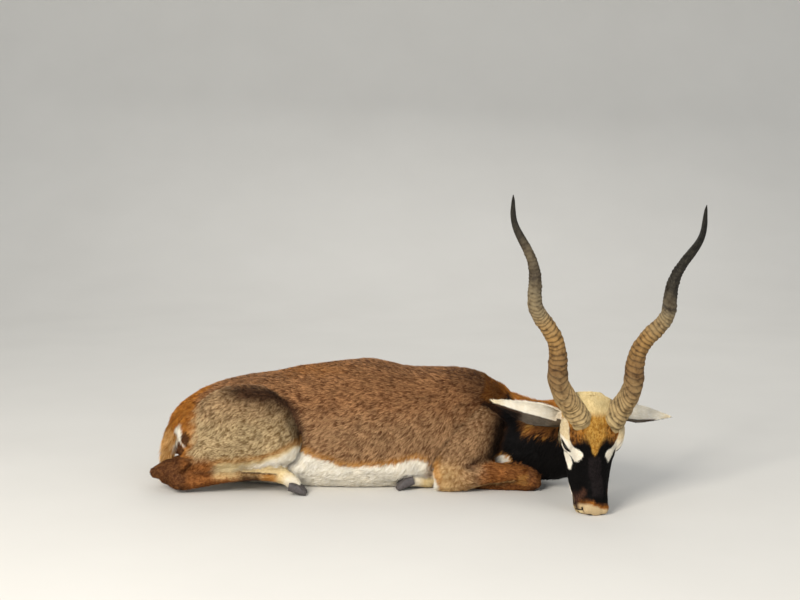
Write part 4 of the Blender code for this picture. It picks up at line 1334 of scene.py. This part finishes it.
def mesh_of_triangles(name, verts, triangles, colours, uvs):
    """A mesh from arrays, with the point colours coat and a map named OFBake."""
    mesh = bpy.data.meshes.new(name)
    mesh.vertices.add(len(verts))
    mesh.vertices.foreach_set("co", verts.astype(np.float32).ravel())
    mesh.loops.add(triangles.size)
    mesh.loops.foreach_set("vertex_index", triangles.astype(np.int32).ravel())
    mesh.polygons.add(len(triangles))
    mesh.polygons.foreach_set("loop_start", np.arange(0, triangles.size, 3, dtype=np.int32))
    mesh.polygons.foreach_set("use_smooth", np.ones(len(triangles), bool))
    mesh.update(calc_edges=True)
    layer = mesh.attributes.new("coat", "FLOAT_COLOR", "POINT")
    opaque = np.column_stack([colours, np.ones(len(colours))])
    layer.data.foreach_set("color", opaque.astype(np.float32).ravel())
    bake = mesh.uv_layers.new(name="OFBake")
    bake.uv.foreach_set("vector", uvs[triangles.ravel()].astype(np.float32).ravel())
    return mesh


def tuft_mesh(name, root, out, way, length, width, lift, root_colour, tip_colour, uv):
    """Flat tapering tufts, each of five points: two at its root, two midway and its tip."""
    count = len(root)
    side = unit(np.cross(way, out))
    roll = rng.normal(0, 0.35, count)[:, None]
    flat = unit(side * np.cos(roll) + out * np.sin(roll))
    stray = rng.normal(0, 0.10, count)[:, None]
    half = (width / 2)[:, None]
    reach = length[:, None]
    rise = np.sin(lift)[:, None]
    start = root - out * 0.0006
    middle = root + way * reach * 0.52 + out * reach * 0.52 * rise + side * reach * stray * 0.4
    tip = root + way * reach * np.cos(lift)[:, None] + out * reach * rise * 0.85 + side * reach * stray
    breadth = flat * half
    corners = (start - breadth, start + breadth, middle - breadth * 0.8, middle + breadth * 0.8, tip)
    verts = np.stack(corners, axis=1)
    verts[:, :, 2] = np.maximum(verts[:, :, 2], 0.0003)
    middle_colour = 0.58 * root_colour + 0.42 * tip_colour
    colour = np.stack([root_colour, root_colour, middle_colour, middle_colour, tip_colour], axis=1)
    patch = np.array([(-0.5, -0.5), (0.5, -0.5), (-0.4, 0.0), (0.4, 0.0), (0.0, 0.5)]) * 0.003
    uvs = np.clip(uv[:, None, :] + patch[None], 0.0005, 0.9995)
    face = np.array([(0, 1, 3), (0, 3, 2), (2, 3, 4)])
    triangles = (np.arange(count) * 5)[:, None, None] + face[None]
    return mesh_of_triangles(
        name, verts.reshape(-1, 3), triangles.reshape(-1, 3), colour.reshape(-1, 3), uvs.reshape(-1, 2)
    )


def coat_pieces(skin, parts, fold, finish):
    """The whole coat, as pieces of one part and one side each, none over the limit."""
    mesh = skin.data
    co, out_at = places(mesh), normals(mesh)
    density = np.array([TUFTS[name][2] for name in PARTS], float)[parts]
    corners, loops, weights = rooted(skin, density)
    root = (co[corners] * weights[:, :, None]).sum(axis=1)
    out = unit((out_at[corners] * weights[:, :, None]).sum(axis=1))
    part = parts[corners[np.arange(len(corners)), weights.argmax(axis=1)]]
    uv_all = np.empty(len(mesh.loops) * 2, np.float32)
    mesh.uv_layers["OFBake"].uv.foreach_get("vector", uv_all)
    uv = (uv_all.reshape(-1, 2)[loops] * weights[:, :, None]).sum(axis=1)
    fold = (fold[corners] * weights).sum(axis=1)
    kept = ~bare_places(root, part)
    root, out, part, uv, fold = root[kept], out[kept], part[kept], uv[kept], fold[kept]

    way = lie_of_coat(root, part)
    swirl = (noise(root, 0.030, 11) - 0.5) * 0.7 + rng.normal(0, 0.16, len(root))
    way = unit(way - out * (way * out).sum(axis=1)[:, None])
    way = unit(way * np.cos(swirl)[:, None] + np.cross(out, way) * np.sin(swirl)[:, None])
    length = np.array([TUFTS[name][0] for name in PARTS])[part] * length_of_coat(root, part)
    length *= rng.uniform(0.72, 1.25, len(root))
    width = np.array([TUFTS[name][1] for name in PARTS])[part] * rng.uniform(0.75, 1.3, len(root))
    clump = smooth_step(0.36, 0.64, noise(root, FLECK_SIZE, 13))
    lift = np.radians(7 + 10 * noise(root, 0.012, 12) + 5 * clump + rng.normal(0, 3.5, len(root)))
    paint = painted(root, out, fold, part)
    shade = (0.82 + 0.36 * noise(root, 0.016, 14))[:, None]
    light = np.clip(0.85 * clump + 0.32 * rng.random(len(root)), 0, 1)[:, None]
    tip = (paint.root + (paint.tip - paint.root) * light) * shade
    base = paint.root * shade

    pieces = []
    for index, name in enumerate(PARTS):
        for side, where in (("right", root[:, 1] <= COAT_MIDDLE), ("left", root[:, 1] > COAT_MIDDLE)):
            if name in ("neck", "tail"):
                where = np.ones(len(root), bool) if side == "right" else np.zeros(len(root), bool)
            if name in ("head", "ear"):
                where = (root[:, 0] <= HEAD_AT.x) == (side == "right")
            chosen = np.flatnonzero(where & (part == index))
            chosen = chosen[np.argsort(root[chosen, 0], kind="stable")]
            runs = np.array_split(chosen, max(1, math.ceil(len(chosen) / TUFTS_IN_A_PIECE)))
            for number, run in enumerate(runs):
                if not len(run):
                    continue
                label = f"coat_{name}_{side}_{number + 1}"
                columns = [column[run] for column in (root, out, way, length, width, lift, base, tip, uv)]
                made = tuft_mesh(label, *columns)
                pieces.append(shown(label, made, finish, SLOTS[name]))
    return pieces


SLOTS = {
    "torso": "coat_brown",
    "neck": "coat_black",
    "head": "coat_black",
    "ear": "coat_white",
    "haunch": "coat_brown",
    "hock": "coat_tan",
    "arm": "coat_brown",
    "knee": "coat_tan",
    "tail": "coat_tan",
}


def horn_line(which, share):
    """A point on the middle line of a horn, share of the way from the skull to the tip."""
    root, tip, (bow, bow_at) = HORNS[which]
    root, tip = Vector(root), Vector(tip)
    axis = (tip - root).normalized()
    outward = Vector((-1 if which == "right" else 1, 0, 0))
    outward = (outward - axis * outward.dot(axis)).normalized()
    forward = Vector((0, -1, 0))
    forward = (forward - axis * forward.dot(axis)).normalized()
    turns = np.polyval(np.polyfit(*np.transpose(HORN_TURNS), 4), share)
    radius = HORN_TWIST_RADIUS * (1 - 0.35 * share)
    out = bow * math.sin(math.pi * max(share, 0) ** bow_at) + radius * math.cos(math.pi * turns)
    foot = HORN_FOOT_BEND * (max(-share, 0) / HORN_FOOT_SHARE) ** 1.5
    return root.lerp(tip, share) + outward * out - forward * radius * math.sin(math.pi * turns) + foot


def horn_rows(which):
    """The rings of one horn: share of its length, height of the ridge there, and how far out of a groove."""
    rng = np.random.default_rng(HORN_SEEDS[which])
    spacing = rng.uniform(0.80, 1.20, HORN_RINGS) * np.linspace(1.15, 0.80, HORN_RINGS)
    starts = np.concatenate([[0], np.cumsum(spacing)]) * (HORN_RINGED_SHARE + HORN_FOOT_SHARE) / spacing.sum()
    starts -= HORN_FOOT_SHARE
    rows = []
    for start, stop, height in zip(starts, starts[1:], rng.uniform(0.7, 1.25, HORN_RINGS)):
        for step in (0.03, 0.12, 0.30, 0.55, 0.80, 0.93):
            ridge = math.sin(math.pi * step) ** 0.55
            rows.append((start + (stop - start) * step, ridge * height, ridge))
    return rows + [(share, 0.5, 1.0) for share in np.linspace(HORN_RINGED_SHARE, 1.0, 26)]


def horn_piece(which, finish):
    """A twisting horn with a rounded ridge for each ring, and thin dark grooves between them."""
    darker = HORN_DARKER_BY[which]
    bm = bmesh.new()
    share_layer = bm.verts.layers.float.new("share")
    ridge_layer = bm.verts.layers.float.new("ridge")
    fibre_layer = bm.verts.layers.float_vector.new("fibre")
    rings = []
    for number, (share, bump, ridge) in enumerate(horn_rows(which)):
        centre = horn_line(which, share)
        ahead, behind = horn_line(which, min(share + 0.01, 1.0)), horn_line(which, share - 0.01)
        along = (ahead - behind).normalized()
        across = along.cross(Vector((1, 0, 0))).normalized()
        up = across.cross(along)
        dip = float(curve(share, HORN_RING_DIP))
        level = Vector((along.x, -dip, along.z)).lerp(along, float(smooth_step(0.60, 0.85, share)))
        level = level.normalized()
        thick = float(curve(share, HORN_TAPER))
        fade = (1 - 0.55 * share / HORN_RINGED_SHARE) * float(smooth_step(0.86, 0.65, share))
        twist = math.pi * float(np.polyval(np.polyfit(*np.transpose(HORN_TURNS), 4), share))
        ring = bmesh.ops.create_circle(bm, cap_ends=False, segments=HORN_SIDES, radius=1)["verts"]
        for v in ring:
            angle = math.atan2(v.co.y, v.co.x)
            way = across * math.cos(angle) + up * math.sin(angle)
            oval = 1 + 0.035 * math.cos(2 * (angle - twist))
            knobs = 1 + 0.30 * math.sin(3 * angle + 1.7 * (number // 6))
            reach = thick * oval + HORN_RING_HEIGHT * fade * (bump * knobs - 0.55)
            slide = -reach * way.dot(level) / along.dot(level)
            waver = 0.0007 * fade * (math.sin(2 * angle + 9 * share) + math.sin(5 * angle + 40 * share))
            v.co = centre + way * reach + along * (slide + waver)
            v[share_layer] = share + darker * float(smooth_step(0.48, 0.57, share))
            v[ridge_layer] = ridge if share < HORN_RINGED_SHARE else 1.0
            v[fibre_layer] = (math.cos(angle) * 6, math.sin(angle) * 6, share * 5)
        rings.append(ring)
    for a, b in zip(rings, rings[1:]):
        bmesh.ops.bridge_loops(bm, edges=ring_edges(a) + ring_edges(b))
    for ring in (rings[0], rings[-1]):
        bmesh.ops.contextual_create(bm, geom=ring)
    bmesh.ops.poke(bm, faces=[f for f in bm.faces if len(f.verts) > 4])
    mesh = finished(bm)
    mesh.shade_smooth()
    return shown(f"horn_{which}_ringed", mesh, finish, "horn", f"horn_{which}")


def eye_piece(which, finish):
    """The ball with a wide dark pupil lying level in a brown iris, and a slight bulge in front."""
    side = -1 if which == "right" else 1
    bm = bmesh.new()
    bmesh.ops.create_uvsphere(bm, u_segments=64, v_segments=48, radius=EYE_RADIUS)
    tint = bm.verts.layers.float_color.new("tint")
    pupil, iris, rim = linear((6, 5, 5)), linear((58, 34, 18)), linear((20, 14, 11))
    for v in bm.verts:
        out = math.hypot(v.co.x, v.co.y)
        slit = math.hypot(v.co.x / 0.0066, v.co.y / 0.0040)
        share = float(smooth_step(0.9, 1.15, slit))
        colour = pupil + (iris - pupil) * share
        edge = float(smooth_step(0.0082, 0.0100, out))
        colour = colour + (rim - colour) * (edge if v.co.z > 0 else 1)
        v[tint] = (*colour, 1)
        if v.co.z > 0:
            v.co.z += 0.0008 * float(smooth_step(0.010, 0.004, out))
    bmesh.ops.transform(bm, matrix=SKULL @ eye_frame(side), verts=bm.verts)
    mesh = finished(bm)
    mesh.shade_smooth()
    return shown(f"eye_{which}_ball", mesh, finish, "eye", f"eye_{which}")


def hoof_pieces(leg, which, finish):
    """The two claws of one hoof, with growth lines round the wall."""
    side = -1 if which == "right" else 1
    at, toe, top = HOOVES[leg]
    at = Vector((at[0], -side * at[1], at[2]))
    toe = Vector((toe[0], -side * toe[1], toe[2])).normalized()
    top = Vector(top)
    top = (top - toe * top.dot(toe)).normalized()
    across = toe.cross(top)
    for inner in (-1, 1):
        rows = []
        for share, half_width, height in CLAW:
            place = at + toe * CLAW_LENGTH * share + across * inner * CLAW_SPREAD * (1 - 0.12 * share)
            place += top * (height - CLAW[0][2]) * 0.5
            rows.append((*place, half_width, height * 0.5, height * 0.5))
        claw = tube(resampled(rows, 36), sides=32, level=top, squareness=2.6)
        bm = bmesh.new()
        bm.from_mesh(claw)
        everything = [*bm.verts, *bm.edges, *bm.faces]
        ground = {"plane_co": (0, 0, 0.0002), "plane_no": (0, 0, -1)}
        bmesh.ops.bisect_plane(bm, geom=everything, dist=1e-6, clear_outer=True, **ground)
        rim = [e for e in bm.edges if e.is_boundary]
        if rim:
            bmesh.ops.triangle_fill(bm, edges=rim, use_beauty=True, use_dissolve=False)
        growth = bm.verts.layers.float.new("growth")
        for v in bm.verts:
            v[growth] = (v.co - at).dot(toe) / CLAW_LENGTH
        mesh = finished(bm)
        mesh.shade_smooth()
        mesh.set_sharp_from_angle(angle=math.radians(50))
        name = "inner" if inner < 0 else "outer"
        shown(f"{leg}_{which}_claw_{name}", mesh, finish, "hoof", f"{leg}_{which}_hoof_{name}")


class Value:
    """A number on a surface: an arithmetic expression on it adds Math nodes to its tree."""

    def __init__(self, tree, socket):
        self.tree = tree
        self.socket = socket

    def joined_by(self, operation, first, second=None):
        made = self.tree.nodes.new("ShaderNodeMath")
        made.operation = operation
        for index, item in enumerate((first, second)):
            if isinstance(item, Value):
                self.tree.links.new(item.socket, made.inputs[index])
            elif item is not None:
                made.inputs[index].default_value = item
        return Value(self.tree, made.outputs[0])

    def __add__(self, other):
        return self.joined_by("ADD", self, other)

    __radd__ = __add__

    def __mul__(self, other):
        return self.joined_by("MULTIPLY", self, other)

    __rmul__ = __mul__

    def __sub__(self, other):
        return self.joined_by("SUBTRACT", self, other)

    def __rsub__(self, other):
        return self.joined_by("SUBTRACT", other, self)

    def __truediv__(self, other):
        return self.joined_by("DIVIDE", self, other)

    def __pow__(self, other):
        return self.joined_by("POWER", self, other)

    def clamped(self):
        made = self.joined_by("ADD", self, 0.0)
        made.socket.node.use_clamp = True
        return made


class Finish:
    """A material of one Principled BSDF, whose other nodes come from node()."""

    def __init__(self, name, **constants):
        self.material = bpy.data.materials.new(name)
        self.material.use_nodes = True
        self.tree = self.material.node_tree
        self.shader = self.tree.nodes["Principled BSDF"]
        for key, value in constants.items():
            self.shader.inputs[key.replace("_", " ")].default_value = value

    def node(self, kind, settings=None, **sockets):
        made = self.tree.nodes.new("ShaderNode" + kind)
        for key, value in (settings or {}).items():
            setattr(made, key, value)
        for key, value in sockets.items():
            self.put(value, made.inputs[key.replace("_", " ")])
        return made

    def put(self, value, socket):
        if isinstance(value, Value):
            value = value.socket
        if isinstance(value, bpy.types.NodeSocket):
            self.tree.links.new(value, socket)
        else:
            socket.default_value = value

    def value(self, socket):
        return Value(self.tree, socket)

    def attribute(self, name):
        return self.node("Attribute", {"attribute_name": name})

    def noise(self, scale, detail=2.0, vector=None):
        made = self.node("TexNoise", Scale=scale, Detail=detail)
        self.put(vector or self.node("TexCoord").outputs["Object"], made.inputs["Vector"])
        return self.value(made.outputs["Fac"])

    def mixed(self, factor, under, over, blend="MIX"):
        made = self.node("Mix", {"data_type": "RGBA", "blend_type": blend})
        for index, item in ((0, factor), (6, under), (7, over)):
            self.put(item, made.inputs[index])
        return made.outputs[2]

    def coloured(self, socket):
        self.put(socket, self.shader.inputs["Base Color"])

    def rough(self, value):
        self.put(value, self.shader.inputs["Roughness"])

    def bumped(self, height, strength, distance):
        made = self.node("Bump", Strength=strength, Distance=distance, Height=height)
        self.put(made.outputs["Normal"], self.shader.inputs["Normal"])


def srgb(*colour):
    return (*linear(colour), 1.0)


def coat_finish():
    finish = Finish("coat_of_hair", Specular_IOR_Level=0.09)
    grain = finish.noise(700.0)
    hair = finish.attribute("coat").outputs["Color"]
    shaded = finish.mixed((grain * 0.6).clamped(), hair, srgb(222, 217, 210), "MULTIPLY")
    finish.coloured(shaded)
    finish.rough(0.50 + 0.2 * finish.noise(90.0))
    return finish.material


def skin_finish():
    """Short hair lying flat, and the bare leather of the nose."""
    finish = Finish("skin_under_the_coat", Specular_IOR_Level=0.12)
    bare = finish.value(finish.attribute("bare").outputs["Fac"])
    hair = finish.attribute("coat").outputs["Color"]
    grain = finish.noise(520.0, 3.0)
    finish.coloured(finish.mixed((grain * 0.7).clamped(), hair, srgb(205, 196, 188), "MULTIPLY"))
    finish.rough((0.72 - 0.25 * bare).clamped())
    pores = finish.node("TexVoronoi", {"feature": "DISTANCE_TO_EDGE"}, Scale=620.0)
    finish.put(finish.node("TexCoord").outputs["Object"], pores.inputs["Vector"])
    cells = finish.value(pores.outputs["Distance"]) * 2.0
    finish.bumped(grain * (1 - bare) + cells * bare, 0.55, 0.0008)
    return finish.material


def horn_finish():
    """Grey-tan at the root, brown in the middle and nearly black towards the tip, with dark grooves."""
    finish = Finish("ringed_horn", Specular_IOR_Level=0.16)
    share = finish.value(finish.attribute("share").outputs["Fac"])
    ridge = finish.value(finish.attribute("ridge").outputs["Fac"])
    fibre = finish.attribute("fibre").outputs["Vector"]
    blotch = finish.noise(38.0, 3.0)
    ramp = finish.node("ValToRGB")
    stops = (
        (0.00, (170, 146, 102)),
        (0.14, (150, 122, 80)),
        (0.24, (112, 82, 48)),
        (0.35, (150, 114, 64)),
        (0.46, (138, 118, 84)),
        (0.56, (116, 102, 78)),
        (0.62, (62, 52, 40)),
        (0.71, (92, 80, 61)),
        (0.80, (38, 33, 27)),
        (1.00, (12, 11, 10)),
    )
    elements = ramp.color_ramp.elements
    while len(elements) < len(stops):
        elements.new(0.5)
    for element, (place, colour) in zip(elements, stops):
        element.position = place
        element.color = srgb(*colour)
    finish.put((share + (blotch - 0.5) * 0.13).clamped(), ramp.inputs["Fac"])
    streak = finish.noise(9.0, 4.0, fibre)
    grime = finish.noise(95.0, 4.0)
    worn = finish.mixed(((streak - 0.52) * 2.2).clamped() * 0.55, ramp.outputs["Color"], srgb(178, 166, 132))
    body = finish.mixed(((grime - 0.46) * 3.5).clamped() * 0.80, worn, srgb(122, 102, 74), "MULTIPLY")
    ringed = ((0.60 - share) * 5.0).clamped() * 0.65 + 0.35
    groove = ((1 - ridge) ** 1.3 * (0.45 + 1.1 * grime) * ringed).clamped()
    finish.coloured(finish.mixed(groove * 0.95, body, srgb(24, 16, 9)))
    finish.rough((0.66 - 0.15 * share + 0.15 * streak).clamped())
    finish.bumped(streak * 0.7 + finish.noise(260.0, 3.0) * 0.5, 0.5, 0.0010)
    return finish.material


def hoof_finish():
    finish = Finish("dark_hoof", Specular_IOR_Level=0.4)
    growth = finish.value(finish.attribute("growth").outputs["Fac"])
    lines = finish.node("TexWave", {"wave_type": "BANDS"}, Scale=1.0)
    combined_vector = finish.node("CombineXYZ", X=growth * 14.0, Y=0.0, Z=0.0)
    finish.put(combined_vector.outputs["Vector"], lines.inputs["Vector"])
    ring = finish.value(lines.outputs["Fac"])
    blotch = finish.noise(160.0, 3.0)
    finish.coloured(finish.mixed((blotch * 0.9 - 0.1).clamped(), srgb(34, 30, 30), srgb(118, 110, 108)))
    finish.rough((0.40 + 0.25 * blotch).clamped())
    finish.bumped(ring * 0.6 + blotch * 0.4, 0.5, 0.0008)
    return finish.material


def eye_finish():
    finish = Finish("wet_eye", IOR=1.38, Specular_IOR_Level=0.6, Coat_Roughness=0.02)
    finish.coloured(finish.attribute("tint").outputs["Color"])
    finish.rough(0.08 + 0.04 * finish.noise(120.0))
    finish.shader.inputs["Coat Weight"].default_value = 1.0
    return finish.material


def floor_finish():
    finish = Finish("pale_floor", Specular_IOR_Level=0.2)
    grain = finish.noise(3.0, 4.0)
    finish.coloured(finish.mixed(grain, srgb(208, 204, 196), srgb(216, 212, 204)))
    finish.rough(0.85)
    return finish.material


def coloured_skin(skin, parts, fold):
    """Gives the skin the coat's own markings and the painted shade of its folds, a little darker than the
    tips of its tufts.
    """
    mesh = skin.data
    co = places(mesh)
    paint = painted(co, normals(mesh), fold, parts)
    colour = 0.72 * paint.root + 0.28 * paint.tip
    layer = mesh.attributes.new("coat", "FLOAT_COLOR", "POINT")
    layer.data.foreach_set("color", np.column_stack([colour, np.ones(len(co))]).astype(np.float32).ravel())
    bare = bare_places(co, parts) & (co[:, 2] > 0.002)
    held = mesh.attributes.new("bare", "FLOAT", "POINT")
    held.data.foreach_set("value", bare.astype(np.float32))


def built_animal():
    tree, face_parts = flesh_tree()
    mesh = skin_form(tree, face_parts)
    mesh.shade_smooth()
    skin = shown("skin", mesh, skin_finish(), "coat_brown", *FLESH)
    unwrapped(skin)
    parts = nearest_part(places(mesh), tree, face_parts)
    # How near each vertex is to a fold, for the painted shade there.
    fold = folds(mesh, parts, FOLD_REACH * 0.6)
    coloured_skin(skin, parts, fold)
    coat_pieces(skin, parts, fold, coat_finish())
    horn, hoof, wet = horn_finish(), hoof_finish(), eye_finish()
    for which in ("right", "left"):
        horn_piece(which, horn)
        eye_piece(which, wet)
        for leg in HOOVES:
            hoof_pieces(leg, which, hoof)


def camera_set():
    camera = bpy.data.objects.new("camera", bpy.data.cameras.new("camera"))
    camera.data.lens = CAMERA_LENS
    camera.location = CAMERA_AT
    camera.rotation_euler = (CAMERA_PITCH, 0, 0)
    scene.collection.objects.link(camera)
    scene.camera = camera


def floor_laid():
    """A pale floor, level under the animal and turning up far behind it."""
    bm = bmesh.new()
    bmesh.ops.create_grid(bm, x_segments=1, y_segments=48, size=1)
    for v in bm.verts:
        reach = (v.co.y + 1) / 2
        turned = (reach - FLOOR_LEVEL_TO) / (FLOOR_TURNED_BY - FLOOR_LEVEL_TO)
        turn = min(max(turned, 0.0), 1.0) * math.pi / 2
        along = min(reach, FLOOR_LEVEL_TO) * FLOOR_LONG + FLOOR_FRONT + FLOOR_BEND * math.sin(turn)
        up = max(reach - FLOOR_TURNED_BY, 0.0) * FLOOR_LONG + FLOOR_BEND * (1 - math.cos(turn))
        v.co = (v.co.x * FLOOR_HALF_WIDE, along, up)
    mesh = bpy.data.meshes.new("floor")
    bm.to_mesh(mesh)
    bm.free()
    mesh.shade_smooth()
    mesh.materials.append(floor_finish())
    floor = bpy.data.objects.new("floor", mesh)
    scene.collection.objects.link(floor)


def lamps_set():
    """Soft light from the front left, with a weaker fill, a back light and a pale sky."""
    for name, place, size, energy, colour in LAMPS:
        light = bpy.data.lights.new(name, "AREA")
        light.energy = energy
        light.color = colour
        light.size = size
        lamp = bpy.data.objects.new(name, light)
        lamp.location = place
        lamp.rotation_euler = (Vector(LAMPS_AIM) - Vector(place)).to_track_quat("-Z", "Y").to_euler()
        scene.collection.objects.link(lamp)
    world = bpy.data.worlds.new("soft_sky")
    world.use_nodes = True
    sky = world.node_tree.nodes["Background"]
    sky.inputs["Color"].default_value = SKY
    sky.inputs["Strength"].default_value = SKY_STRENGTH
    scene.world = world
    scene.view_settings.view_transform = "Standard"


camera_set()
floor_laid()
lamps_set()
built_animal()
